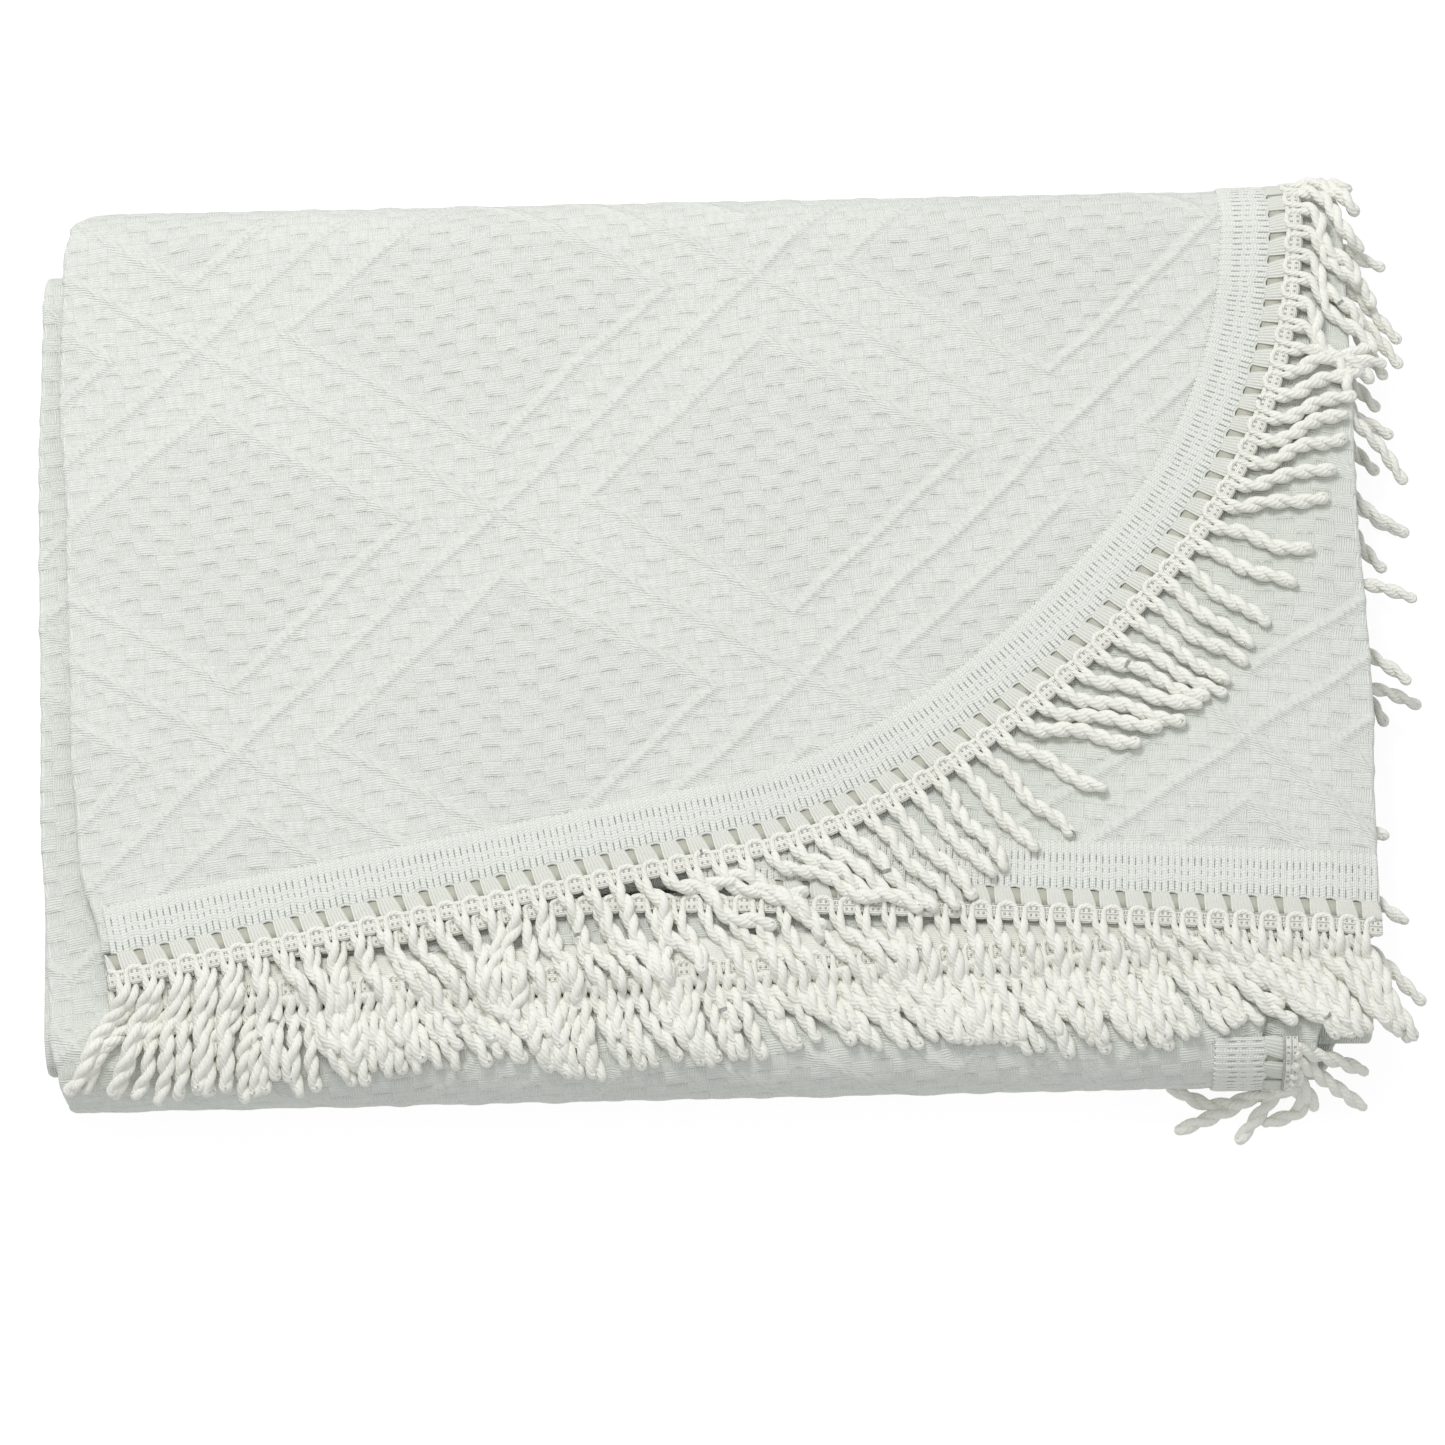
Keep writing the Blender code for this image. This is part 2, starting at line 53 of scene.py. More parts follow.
# Cloth and its folds
CLOTH = 1.9
PLY_PITCH = 2.54
PACKET = 4 * PLY_PITCH
BACK_END = 231.0
FRONT_END = -200.0
FREE_END = -150.0
INNER_BACK_GAP = 20.0
INNER_FRONT_GAP = 6.0
LEVELS = (6, 1, 5, 2, 4, 3)
RIGHT_SAG = 0.06
LEFT_SAG = 0.035
FOLD_LINES = (
    # along, fold_ab, fold_bc, fold_cd, edge_a, edge_d
    (0.00, -279, 290, -276, 256, 252),
    (0.15, -290, 291, -286, 256, 252),
    (0.30, -294, 293, -289, 256, 253),
    (0.60, -297, 291, -293, 256, 254),
    (0.80, -301, 292, -296, 256, 254),
    (1.00, -300, 292, -297, 256, 254),
    (1.18, -297, 292, -294, 256, 254),
    (1.38, -286, 291, -286, 255, 253),
    (1.70, -292, 290, -292, 254, 252),
    (2.00, -302, 290, -300, 254, 252),
    (2.80, -302, 288, -300, 244, 250),
    (3.05, -298, 271, -296, 236, 246),
    (3.45, -295, 262, -293, 235, 244),
    (3.80, -299, 260, -297, 234, 244),
    (4.05, -303, 264, -301, 238, 246),
    (4.15, -305, 278, -303, 244, 248),
    (4.30, -308, 288, -305, 250, 250),
    (4.80, -311, 289, -307, 253, 251),
    (5.00, -310, 288, -307, 254, 252),
    (7.00, -305, 286, -303, 252, 250),
    (9.00, -307, 288, -304, 253, 251),
    (11.0, -303, 285, -301, 251, 249),
)

# Braid lines
FOOT_BRAID_B = (
    # x, y
    (-278, -152), (-200, -138), (-137, -131), (-80, -121), (-13, -120), (60, -123),
    (139, -128), (210, -132), (289, -137),
)
FOOT_BRAID_C = (
    # x, y
    (-278, -155), (-157, -154), (70, -146), (289, -137),
)
CORNER_START = (-275.0, -150.5)
CORNER_HEADING = 11.0
CORNER_STRETCHES = (
    # length, turn in degrees
    (285, -0.5), (95, 22.0), (155, 18.0), (150, 33.0), (50, 1.5),
)
WRAP_TRIM_END = 150.0
FOOT_TRIM_START = -276.0
FOOT_TRIM_END = 291.0
FRONT_BRAID_X = 248.0

# First roots along each braid, and where ply B's openwork comes out from under ply A's cords
CORNER_ROOT = 6.0
FOOT_ROOT = 10.5
UNDER_ROOT = 4.0
FOOT_SHOWN = 290.0

# Trim, measured outwards from the braid's centre line
BRAID_HALF = 3.5
TAPE_NEAR = 11.0
TAPE_WIDE = 23.0
TAPE_THICK = 1.2
CLOTH_EDGE = 13.0
PITCH = 11.7
RIB_PITCH = PITCH / 4
ARCH_HALF = 4.0
ARCH_RADIUS = 1.3
ARCH_RISE = 1.95

# Bullion cords: two strands of one yarn twisted together
CORD_LENGTH = 54.0
LONGEST_CORD = 58.0
SHORTEST_CORD = 34.0
SETTLE = 9.0
STRAND_RADIUS = 2.15
STRAND_OFFSET = 1.5
SIDE_STRAND_RADIUS = 1.8
TWIST_PITCH = 20.0
CORD_RISE = STRAND_RADIUS + STRAND_OFFSET * 0.5

# Jacquard cells: the way one cell takes along the weft and along the warp
CELL_WIDE = 9.2
CELL_HIGH = 7.05
DIAMOND = 28.0
INNER_DIAMOND = 9.6

# Weave of ply A and of ply B: turn of the weft, turn of the warp, and a diamond's centre
WEAVE_TOP = (6.9, 5.2, (-109.5, 167.5))
WEAVE_UNDER = (-4.0, -4.0, (107.0, -37.0))


def level_height(level):
    """Height of the middle of a packet."""
    return (level - 0.5) * PACKET - (PLY_PITCH - CLOTH) / 2


def ply_top(level, ply):
    """Top of ply A (0) to D (3) in a panel that lies face up."""
    return level_height(level) + (1.5 - ply) * PLY_PITCH + CLOTH / 2


WRAP_BACK_Y = BACK_END - (level_height(6) - level_height(1)) / 2 - PACKET / 2
WRAP_FRONT_Y = FRONT_END + (level_height(5) - level_height(1)) / 2 + PACKET / 2
WRAP_BACK_Z = (level_height(6) + level_height(1)) / 2
WRAP_FRONT_Z = (level_height(5) + level_height(1)) / 2
WRAP_BACK_RADIUS = (level_height(6) - level_height(1)) / 2 + 1.5 * PLY_PITCH + CLOTH / 2
WRAP_FRONT_RADIUS = (level_height(5) - level_height(1)) / 2 + 1.5 * PLY_PITCH + CLOTH / 2
TOP_A = ply_top(6, 0)
TOP_B = ply_top(6, 1)
TOP_C = ply_top(6, 2)


def smooth(low, high, value):
    """0 up to low, 1 from high, and eased between them."""
    share = np.clip((np.asarray(value, float) - low) / (high - low), 0.0, 1.0)
    return share * share * (3 - 2 * share)


def ramp(rows, at, column=1):
    """Eased values of a table's column at places along its first column."""
    table = np.array(rows, float)
    at = np.asarray(at, float)
    index = np.clip(np.searchsorted(table[:, 0], at, side="right") - 1, 0, len(table) - 2)
    low, high = table[index], table[index + 1]
    share = smooth(low[..., 0], high[..., 0], at)
    return low[..., column] + (high[..., column] - low[..., column]) * share


def through(rows, at):
    """Heights at x of a smooth line through points, as a Catmull-Rom curve in x."""
    table = np.array(rows, float)
    at = np.asarray(at, float)
    last = len(table) - 1
    index = np.clip(np.searchsorted(table[:, 0], at, side="left") - 1, 0, last - 1)
    before, start = table[np.maximum(index - 1, 0)], table[index]
    end, after = table[index + 1], table[np.minimum(index + 2, last)]
    span = end[..., 0] - start[..., 0]
    share = np.clip((at - start[..., 0]) / span, 0.0, 1.0)
    leave = (end[..., 1] - before[..., 1]) / (end[..., 0] - before[..., 0]) * span
    arrive = (after[..., 1] - start[..., 1]) / (after[..., 0] - start[..., 0]) * span
    square, cube = share**2, share**3
    return (
        (2 * cube - 3 * square + 1) * start[..., 1]
        + (cube - 2 * square + share) * leave
        + (3 * square - 2 * cube) * end[..., 1]
        + (cube - square) * arrive
    )


def unit(vectors):
    return vectors / np.maximum(np.linalg.norm(vectors, axis=-1, keepdims=True), 1e-9)


def top_swell(x, y):
    """Soft unevenness of the top panel in millimetres, which its trims share."""
    inside = smooth(-300, -262, x) * smooth(290, 250, x) * smooth(199, 165, y) * smooth(-150, -118, y)
    waves = (
        0.55 * np.sin(x / 61.0 + y / 93.0 + 0.6)
        + 0.40 * np.sin(x / 37.0 - y / 55.0 + 2.1)
        + 0.25 * np.sin(x / 23.0 + y / 41.0)
    )
    return waves * inside


def wrapped(value):
    """Value brought into the half-open stretch of one diamond about zero."""
    return value - DIAMOND * np.round(value / DIAMOND)


def weave_relief(u, v):
    """Height in millimetres of the jacquard's relief. u and v count cells from a diamond's centre."""
    far = np.maximum(np.abs(wrapped(u + v)), np.abs(wrapped(u - v)))
    from_ridge = np.minimum(np.abs(far - DIAMOND / 2), np.abs(far - INNER_DIAMOND))
    ridges = np.exp(-((from_ridge / 0.42) ** 2))
    column, row = np.floor(u), np.floor(v)
    across, up = u - column - 0.5, v - row - 0.5
    puffy = ((column + row) % 2 == 0).astype(float)
    pillow = (1 - (2 * across) ** 6) * (1 - (2 * up) ** 4)
    cells = smooth(0.55, 0.95, from_ridge) * (0.6 + 0.4 * smooth(INNER_DIAMOND, INNER_DIAMOND - 0.5, far))
    return 0.68 * ridges + (puffy * 0.38 + (1 - puffy) * 0.06) * pillow * cells


def crumple(x, y):
    """Small unevenness of washed cotton, in millimetres."""
    return 0.16 * np.sin(x / 4.7 + 2.0 * np.sin(y / 13.0)) * np.sin(y / 6.3 + 1.7 * np.sin(x / 17.0))


def cells_at(x, y, weft, warp, centre):
    """Cell coordinates of places on the flat cloth, with the slight waver of hand-washed cotton."""
    weft, warp = math.radians(weft), math.radians(warp)
    right = x - centre[0] + 0.9 * np.sin(y / 17.0 + x / 90.0) + 0.5 * np.sin(y / 6.3 + x / 31.0)
    back = y - centre[1] + 0.8 * np.sin(x / 19.0 + y / 70.0) + 0.45 * np.sin(x / 7.1 - y / 33.0)
    across = math.cos(weft - warp)
    u = (right * math.cos(warp) + back * math.sin(warp)) / (CELL_WIDE * across)
    v = (-right * math.sin(weft) + back * math.cos(weft)) / (CELL_HIGH * across)
    return u, v


class Build:
    """Points, faces and pattern places of one piece, gathered part by part."""

    def __init__(self):
        self.points = []
        self.faces = []
        self.places = []
        self.count = 0

    def add(self, points, faces, places):
        points = np.asarray(points, float).reshape(-1, 3)
        self.points.append(points)
        self.places.append(np.asarray(places, float).reshape(-1, 3))
        for group in faces:
            if isinstance(group, np.ndarray):
                self.faces += (group + self.count).tolist()
            else:
                self.faces.append([index + self.count for index in group])
        self.count += len(points)

    def piece(self, name, surface, slot, nodes):
        """Makes the object, rides it on the body and hides the imported parts that it stands for."""
        mesh = bpy.data.meshes.new(name)
        points = np.concatenate(self.points)
        x = points[:, 0]
        points[:, 2] *= 1 - RIGHT_SAG * smooth(266.0, 293.0, x) - LEFT_SAG * smooth(-272.0, -300.0, x)
        points = (points - CENTRE) * MM
        mesh.from_pydata(points.tolist(), [], self.faces)
        mesh.polygons.foreach_set("use_smooth", [True] * len(mesh.polygons))
        places = mesh.attributes.new("place", "FLOAT_VECTOR", "POINT")
        places.data.foreach_set("vector", np.concatenate(self.places).astype(np.float32).ravel())
        mesh.materials.append(surface)
        mesh.update()
        made = bpy.data.objects.new(name, mesh)
        bpy.context.scene.collection.objects.link(made)
        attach(made, "root")
        if nodes:
            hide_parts(*nodes)
        return made


def grid_faces(rows, columns, closed=False, flip=False):
    """Quads of a grid of points, numbered row by row. A closed grid joins its last column to its first."""
    last = columns if closed else columns - 1
    row, column = np.meshgrid(np.arange(rows - 1), np.arange(last), indexing="ij")
    follow = (column + 1) % columns
    quads = np.stack(
        [row * columns + column, row * columns + follow, (row + 1) * columns + follow,
         (row + 1) * columns + column], axis=-1,
    ).reshape(-1, 4)
    return quads[:, ::-1] if flip else quads


def loft(build, rings, places):
    """Closed tube through rings, given as (rings, points, 3)."""
    count, size = rings.shape[:2]
    caps = [list(range(size))[::-1], [size * (count - 1) + index for index in range(size)]]
    build.add(rings, [grid_faces(count, size, closed=True), *caps], places)


def slab(build, outer, inner, keep, places_outer, places_inner):
    """Closed sheet between an outer grid and an inner one, which has only the kept columns."""
    rows, columns = outer.shape[:2]
    fewer = len(keep)
    start = rows * columns
    faces = [grid_faces(rows, columns), grid_faces(rows, fewer, flip=True) + start]
    for row in (0, rows - 1):
        for number in range(fewer - 1):
            above = [row * columns + column for column in range(keep[number], keep[number + 1] + 1)]
            below = [start + row * fewer + number + 1, start + row * fewer + number]
            loop = above + below
            faces.append(loop[::-1] if row == 0 else loop)
    for outside, within in ((0, 0), (columns - 1, fewer - 1)):
        for row in range(rows - 1):
            loop = [row * columns + outside, (row + 1) * columns + outside,
                    start + (row + 1) * fewer + within, start + row * fewer + within]
            faces.append(loop[::-1] if outside == 0 else loop)
    points = np.concatenate([outer.reshape(-1, 3), inner.reshape(-1, 3)])
    places = np.concatenate([places_outer.reshape(-1, 3), places_inner.reshape(-1, 3)])
    build.add(points, faces, places)


def packet_path(along):
    """y, z and heading of the packet's middle. Heading starts at 0, to the back, and turns down."""
    along = np.asarray(along, float)
    leg = np.clip(np.floor(along), 0, 10).astype(int)
    share = along - leg
    heights = np.array([level_height(level) for level in LEVELS])
    backs = (WRAP_BACK_Y, WRAP_BACK_Y - INNER_BACK_GAP, WRAP_BACK_Y - INNER_BACK_GAP - INNER_FRONT_GAP)
    fronts = (WRAP_FRONT_Y, WRAP_FRONT_Y + INNER_FRONT_GAP)
    turns = np.array([backs[0], fronts[0], backs[1], fronts[1], backs[2], FREE_END])
    starts = np.array([FREE_END, *turns[:-1]])
    panel = leg // 2
    onto = np.minimum(panel + 1, 5)
    heading = -math.pi * (panel + np.where(leg % 2 == 1, share, 0.0))
    radius = np.abs(heights[panel] - heights[onto]) / 2
    middle = (heights[panel] + heights[onto]) / 2
    flat_y = starts[panel] + (turns[panel] - starts[panel]) * share
    y = np.where(leg % 2 == 1, turns[panel] - radius * np.sin(heading), flat_y)
    z = np.where(leg % 2 == 1, middle + radius * np.cos(heading), heights[panel])
    return y, z, heading


def corner_path():
    """Points and headings of the braid on ply A, a millimetre apart, up to the back wrap."""
    x, y = CORNER_START
    heading = math.radians(CORNER_HEADING)
    path = [(x, y, heading)]
    for length, turn in CORNER_STRETCHES:
        half_turn = math.radians(turn) / length / 2
        for _ in range(length):
            heading += half_turn
            x += math.cos(heading)
            y += math.sin(heading)
            heading += half_turn
            path.append((x, y, heading))
    path = np.array(path)
    return path[path[:, 1] <= WRAP_BACK_Y]


CORNER = corner_path()
CORNER_EDGE = np.stack(
    [CORNER[:, 0] - np.sin(CORNER[:, 2]) * CLOTH_EDGE, CORNER[:, 1] + np.cos(CORNER[:, 2]) * CLOTH_EDGE],
    axis=1,
)
EDGE_SLOPE_LEFT = 0.15


def corner_edge_y(x):
    """Foot edge of ply A at x, along the rounded corner."""
    left = CORNER_EDGE[0]
    found = np.interp(x, CORNER_EDGE[:, 0], CORNER_EDGE[:, 1])
    return np.where(x < left[0], left[1] + (x - left[0]) * EDGE_SLOPE_LEFT, found)


def front_edge(x, offset):
    """Foot edge of the cloth on level 6 at x, for the ply whose middle has this offset."""
    near_a = corner_edge_y(x)
    near_b = through(FOOT_BRAID_B, x) + CLOTH_EDGE
    near_c = through(FOOT_BRAID_C, x) + CLOTH_EDGE
    upper = smooth(0.5 * PLY_PITCH, 1.5 * PLY_PITCH, offset)
    lower = smooth(0.5 * PLY_PITCH, -0.5 * PLY_PITCH, offset)
    return near_b + (near_a - near_b) * upper + (near_c - near_b) * lower


def cloth_places(along, x, offset):
    """Middle of the cloth, its upward normal along the path, and the path's y on the top panel."""
    y, z, heading = packet_path(along)
    front = front_edge(x, offset)
    level = along <= 1.0
    y = np.where(level, front + (WRAP_BACK_Y - front) * np.clip(along, 0, 1), y)
    heading = np.where(level, 0.0, heading)
    normal = np.stack([np.zeros_like(heading), -np.sin(heading), np.cos(heading)], axis=-1)
    middle = np.stack([x + 0 * y, y, z + 0 * y], axis=-1)
    return middle, normal


FOLD_RADIUS = PLY_PITCH / 2
FOLD_REACH = FOLD_RADIUS + CLOTH / 2
HIDDEN_STRIP = 14.0
STRIP_COLUMNS = 4
FOLD_STEPS = 8
FLAT_START = STRIP_COLUMNS + FOLD_STEPS
LEFT_START = -296.0
TOP_ROWS = 226
TOP_COLUMNS = 320
ROLL_END = 11.0
FACE_BASE = CLOTH / 2 - 0.15


def arc_table(offset_of_ply):
    """Length along the path at the middle of a ply, for pattern places."""
    along = np.linspace(0, ROLL_END, 1101)
    y, z, heading = packet_path(along)
    y = y - np.sin(heading) * offset_of_ply
    z = z + np.cos(heading) * offset_of_ply
    steps = np.hypot(np.diff(y), np.diff(z))
    return along, np.concatenate([[0.0], np.cumsum(steps)])


ARC_ALONG, ARC_A = arc_table(1.5 * PLY_PITCH)
ARC_TO_WRAP = float(np.interp(1.0, ARC_ALONG, ARC_A))


def flat_y(along, points_y):
    """The pattern's y: the top panel's own y, carried on along the path."""
    return np.where(along <= 1.0, points_y, WRAP_BACK_Y + np.interp(along, ARC_ALONG, ARC_A) - ARC_TO_WRAP)


def section_of(parts, profile):
    """x of a section in each row, and its offset and normal, which are alike in every row."""
    x = np.concatenate(parts, axis=1)
    return x, *(np.concatenate(values) + 0 * x for values in profile)


def ply_a_section(fold_x, right_x, columns):
    """Across ply A: x, offset and normal for a strip of ply B, the left fold and then ply A."""
    angle = np.linspace(math.pi, 0, FOLD_STEPS + 1)
    turn_x, turn_z = -np.sin(angle), np.cos(angle)
    centre = fold_x + FOLD_REACH
    strip = centre[:, None] + np.linspace(HIDDEN_STRIP, 2.0, STRIP_COLUMNS)[None, :]
    fold = centre[:, None] + turn_x[None, :] * FOLD_RADIUS
    flat = centre[:, None] + (right_x - centre)[:, None] * columns[None, 1:]
    hidden, shown = np.ones(STRIP_COLUMNS), np.ones(len(columns) - 1)
    offset = (hidden * 0.5 * PLY_PITCH, PLY_PITCH + turn_z * FOLD_RADIUS, shown * 1.5 * PLY_PITCH)
    normal_x, normal_z = (0 * hidden, turn_x, 0 * shown), (-hidden, turn_z, shown)
    return section_of((strip, fold, flat), (offset, normal_x, normal_z))


def zigzag_section(fold_ab, fold_bc, fold_cd, edge_d, b_shares):
    """Across plies B, C and D: x, offset and upward-side normal, for each row."""
    start = (fold_ab + FOLD_REACH + HIDDEN_STRIP + 0.3)[:, None]
    right = (fold_bc - FOLD_REACH)[:, None]
    left = (fold_cd + FOLD_REACH)[:, None]
    end = edge_d[:, None]
    angle = np.linspace(0, math.pi, 9)[1:]
    turn_x, turn_z = np.sin(angle), np.cos(angle)
    shares = np.array((0.12, 0.3, 0.5, 0.7, 0.88, 1.0))
    parts = (
        start + (right - start) * b_shares[None, :],
        right + turn_x[None, :] * FOLD_RADIUS,
        right + (left - right) * shares[None, :],
        left - turn_x[None, :] * FOLD_RADIUS,
        left + (end - left) * shares[None, :],
    )
    ply_b, ply = np.ones(len(b_shares)), np.ones(len(shares))
    plies = (ply_b * 0.5, turn_z * 0.5, ply * -0.5, -1 + turn_z * 0.5, ply * -1.5)
    offset = [part * PLY_PITCH for part in plies]
    normal_x = (0 * ply_b, turn_x, 0 * ply, turn_x, 0 * ply)
    return section_of(parts, (offset, normal_x, (ply_b, turn_z, -ply, -turn_z, ply)))


class Sheet:
    """A grid over the folded cloth, with rows along the roll and columns across it."""

    def __init__(self, along, section, anchor, weave):
        self.x, self.offset, self.normal_x, self.normal_z = section
        self.along = along + 0 * self.x
        self.middle = self.points(0 * self.x)
        self.y = self.middle[..., 1]
        steps = np.hypot(np.diff(self.x, axis=1), np.diff(self.offset, axis=1))
        arc = np.concatenate([0 * self.x[:, :1], np.cumsum(steps, axis=1)], axis=1)
        self.flat_x = self.x[:, [anchor]] + arc - arc[:, [anchor]]
        self.u, self.v = cells_at(self.flat_x, flat_y(self.along, self.y), *weave)

    def points(self, lift):
        """Places lifted from the cloth's middle along the section's own normal."""
        middle, normal = cloth_places(self.along, self.x, self.offset)
        points = middle + normal * (self.offset + self.normal_z * lift)[..., None]
        points[..., 0] += self.normal_x * lift
        return points

    def relief(self, share=1.0):
        """Weave and small unevenness in millimetres."""
        return weave_relief(self.u, self.v) * share + crumple(self.flat_x, self.y)

    def swell(self, lowest):
        """The top panel's unevenness, for plies above an offset."""
        waves = np.where(self.along <= 1.0, top_swell(self.middle[..., 0], self.y), 0.0)
        return waves * (self.offset > lowest)

    def area(self):
        """Area in square metres along the middle of the cloth."""
        across = self.middle[:-1, 1:] - self.middle[:-1, :-1]
        down = self.middle[1:, :-1] - self.middle[:-1, :-1]
        return float(np.linalg.norm(np.cross(across, down), axis=-1).sum()) * MM * MM

    def piece(self, name, surface, nodes, relief, swell, strength, step, kept, length, lowest=-1.0):
        """Closed sheet with its relief outside and fewer columns inside, its area and its flat size."""
        columns = self.x.shape[1]
        keep = sorted({*range(0, columns, step), columns - 1, *kept})
        outer = self.points(FACE_BASE + relief)
        outer[..., 2] = np.maximum(outer[..., 2] + swell, lowest)
        inner = self.points(np.full_like(self.x, -CLOTH / 2))[:, keep]
        inner[..., 2] += swell[:, keep]
        places = np.stack([self.u, self.v, strength], axis=-1)
        build = Build()
        slab(build, outer, inner, keep, places, places[:, keep])
        made = build.piece(name, surface, "cloth_white", nodes)
        return made, self.area(), (np.ptp(self.flat_x) * MM, length * MM)


def trim_distance(points):
    """Distance in plan from ply A's foot edge, large on the wraps."""
    best = np.full(points.shape[:-1], np.inf)
    for edge_x, edge_y in CORNER_EDGE[::6]:
        best = np.minimum(best, np.hypot(points[..., 0] - edge_x, points[..., 1] - edge_y))
    return best


def rows_along(stretches):
    """Places of rows along the roll, from stretches given as start, end and count."""
    parts = [np.linspace(start, end, count, endpoint=False) for start, end, count in stretches]
    return np.append(np.concatenate(parts), ROLL_END)


def make_top_cloth(surface):
    """Ply A from its rounded foot edge over the back wrap, with its left fold."""
    along_edge = np.concatenate([[0.0], np.cumsum(np.hypot(*np.diff(CORNER_EDGE, axis=0).T))])
    edge_x = np.interp(np.linspace(0, along_edge[-1], TOP_COLUMNS), along_edge, CORNER_EDGE[:, 0])
    target = np.concatenate([np.linspace(LEFT_START, CORNER_EDGE[0, 0], 10)[:-1], edge_x])
    shares = (target - target[0]) / (target[-1] - target[0])
    right, fold_x = np.full(TOP_ROWS, target[-1]), np.full(TOP_ROWS, LEFT_START)
    wrap_length = math.pi * (WRAP_BACK_RADIUS - CLOTH / 2)
    for _ in range(3):
        section = ply_a_section(fold_x, right, shares)
        straight = WRAP_BACK_Y - front_edge(section[0], section[1])
        run = np.linspace(0, 1, TOP_ROWS)[:, None] * (straight + wrap_length)
        on_wrap = 1 + (run - straight) / wrap_length
        along = np.where(run < straight, run / np.maximum(straight, 1e-6), on_wrap)
        fold_x = ramp(FOLD_LINES, along[:, FLAT_START], 1)
    sheet = Sheet(along, section, FLAT_START, WEAVE_TOP)
    strength = np.where(along > 1.85, 0.3, 0.35 + 0.65 * smooth(20.0, 26.0, trim_distance(sheet.middle)))
    length = WRAP_BACK_Y - CORNER_EDGE[0, 1] + wrap_length + 9.0
    return sheet.piece("cloth_top", surface, ["bedspread_cloth"], sheet.relief() * strength,
                       sheet.swell(1.4 * PLY_PITCH), strength, 12, range(FLAT_START + 1), length)


def make_rolled_cloth(surface):
    """The rest of ply A along the roll, from the back wrap's foot to its free end."""
    shares = np.concatenate([np.linspace(0, 0.06, 14)[:-1], np.linspace(0.06, 1, 196)])
    along = rows_along((
        # from along, to along, rows
        (2.0, 2.95, 10), (2.95, 4.08, 46), (4.08, 4.4, 24), (4.4, 5.0, 56), (5.0, 6.0, 14),
        (6.0, 7.0, 6), (7.0, 8.0, 8), (8.0, 9.0, 6), (9.0, 10.0, 8), (10.0, 11.0, 6),
    ))
    section = ply_a_section(ramp(FOLD_LINES, along, 1), ramp(FOLD_LINES, along, 4), shares)
    sheet = Sheet(along[:, None], section, FLAT_START, WEAVE_TOP)
    shown = smooth(2.9, 3.0, sheet.along) * smooth(5.05, 5.0, sheet.along)
    strength = 0.15 + 0.85 * shown
    length = float(np.interp(ROLL_END, ARC_ALONG, ARC_A) - np.interp(2.0, ARC_ALONG, ARC_A))
    return sheet.piece("cloth_rolled", surface, [], sheet.relief() * strength * shown, 0 * shown,
                       np.maximum(strength, 0.4), 16, range(FLAT_START + 1), length, lowest=0.0)


def make_inner_cloth(surface):
    """Plies B, C and D along the whole roll. Ply B's right part and the right folds show."""
    along = rows_along((
        # from along, to along, rows
        (0.0, 0.82, 126), (0.82, 1.0, 8), (1.0, 2.0, 30), (2.0, 3.0, 14), (3.0, 4.0, 22), (4.0, 5.0, 14),
        (5.0, 6.0, 20), (6.0, 7.0, 8), (7.0, 8.0, 14), (8.0, 9.0, 8), (9.0, 10.0, 12), (10.0, 11.0, 8),
    ))
    shares = np.concatenate([np.linspace(0, 0.53, 10)[:-1], np.linspace(0.53, 1.0, 124)])
    section = zigzag_section(*(ramp(FOLD_LINES, along, column) for column in (1, 2, 3, 5)), shares)
    sheet = Sheet(along[:, None], section, 0, WEAVE_UNDER)
    shown = smooth(0.84, 0.80, sheet.along) * smooth(5.0, 25.0, sheet.x) * (sheet.offset > -0.4 * PLY_PITCH)
    kept = range(len(shares) - 1, sheet.x.shape[1])
    return sheet.piece("cloth_inner", surface, [], sheet.relief(0.9) * shown, sheet.swell(1.1),
                       np.maximum(0.4, shown), 10, kept, float(ARC_A[-1]) + 10.0)


class Rail:
    """A trim's middle line: places, ways out from the cloth and face normals by length along it."""

    def __init__(self, places, outward, normals):
        self.places = np.asarray(places, float)
        self.outward = unit(np.asarray(outward, float))
        self.normals = unit(np.asarray(normals, float))
        steps = np.linalg.norm(np.diff(self.places, axis=0), axis=1)
        self.lengths = np.concatenate([[0.0], np.cumsum(steps)])
        self.length = self.lengths[-1]

    def _mixed(self, table, at):
        return np.stack([np.interp(at, self.lengths, table[:, axis]) for axis in range(3)], axis=-1)

    def frames(self, at):
        at = np.asarray(at, float)
        tables = (self.places, self.outward, self.normals)
        place, outward, normal = (self._mixed(table, at) for table in tables)
        return place, unit(outward), unit(normal)

    def point(self, at, out, up):
        """Places at lengths along the line, moved outwards and up."""
        place, outward, normal = self.frames(at)
        out, up = np.asarray(out, float)[..., None], np.asarray(up, float)[..., None]
        return place + outward * out + normal * up


def corner_rail():
    """Braid line of ply A, from the left fold round the corner and over the back wrap."""
    x, y, heading = CORNER.T
    flat = np.stack([x, y, TOP_A + top_swell(x, y)], axis=-1)
    turned = heading + (math.pi / 2 - heading[-1]) * smooth(-60, 0, np.arange(len(x)) - len(x) + 1)
    out = np.stack([np.sin(turned), -np.cos(turned), 0 * x], axis=-1)
    up = np.tile((0.0, 0.0, 1.0), (len(x), 1))
    angle = np.radians(np.arange(1.5, WRAP_TRIM_END + 4.0, 1.5))
    over = np.stack([0 * angle, np.sin(angle), np.cos(angle)], axis=-1)
    wrap = np.array((x[-1], WRAP_BACK_Y, WRAP_BACK_Z)) + over * WRAP_BACK_RADIUS
    outward = np.tile((1.0, 0.0, 0.0), (len(angle), 1))
    return Rail(np.concatenate([flat, wrap]), np.concatenate([out, outward]), np.concatenate([up, over]))


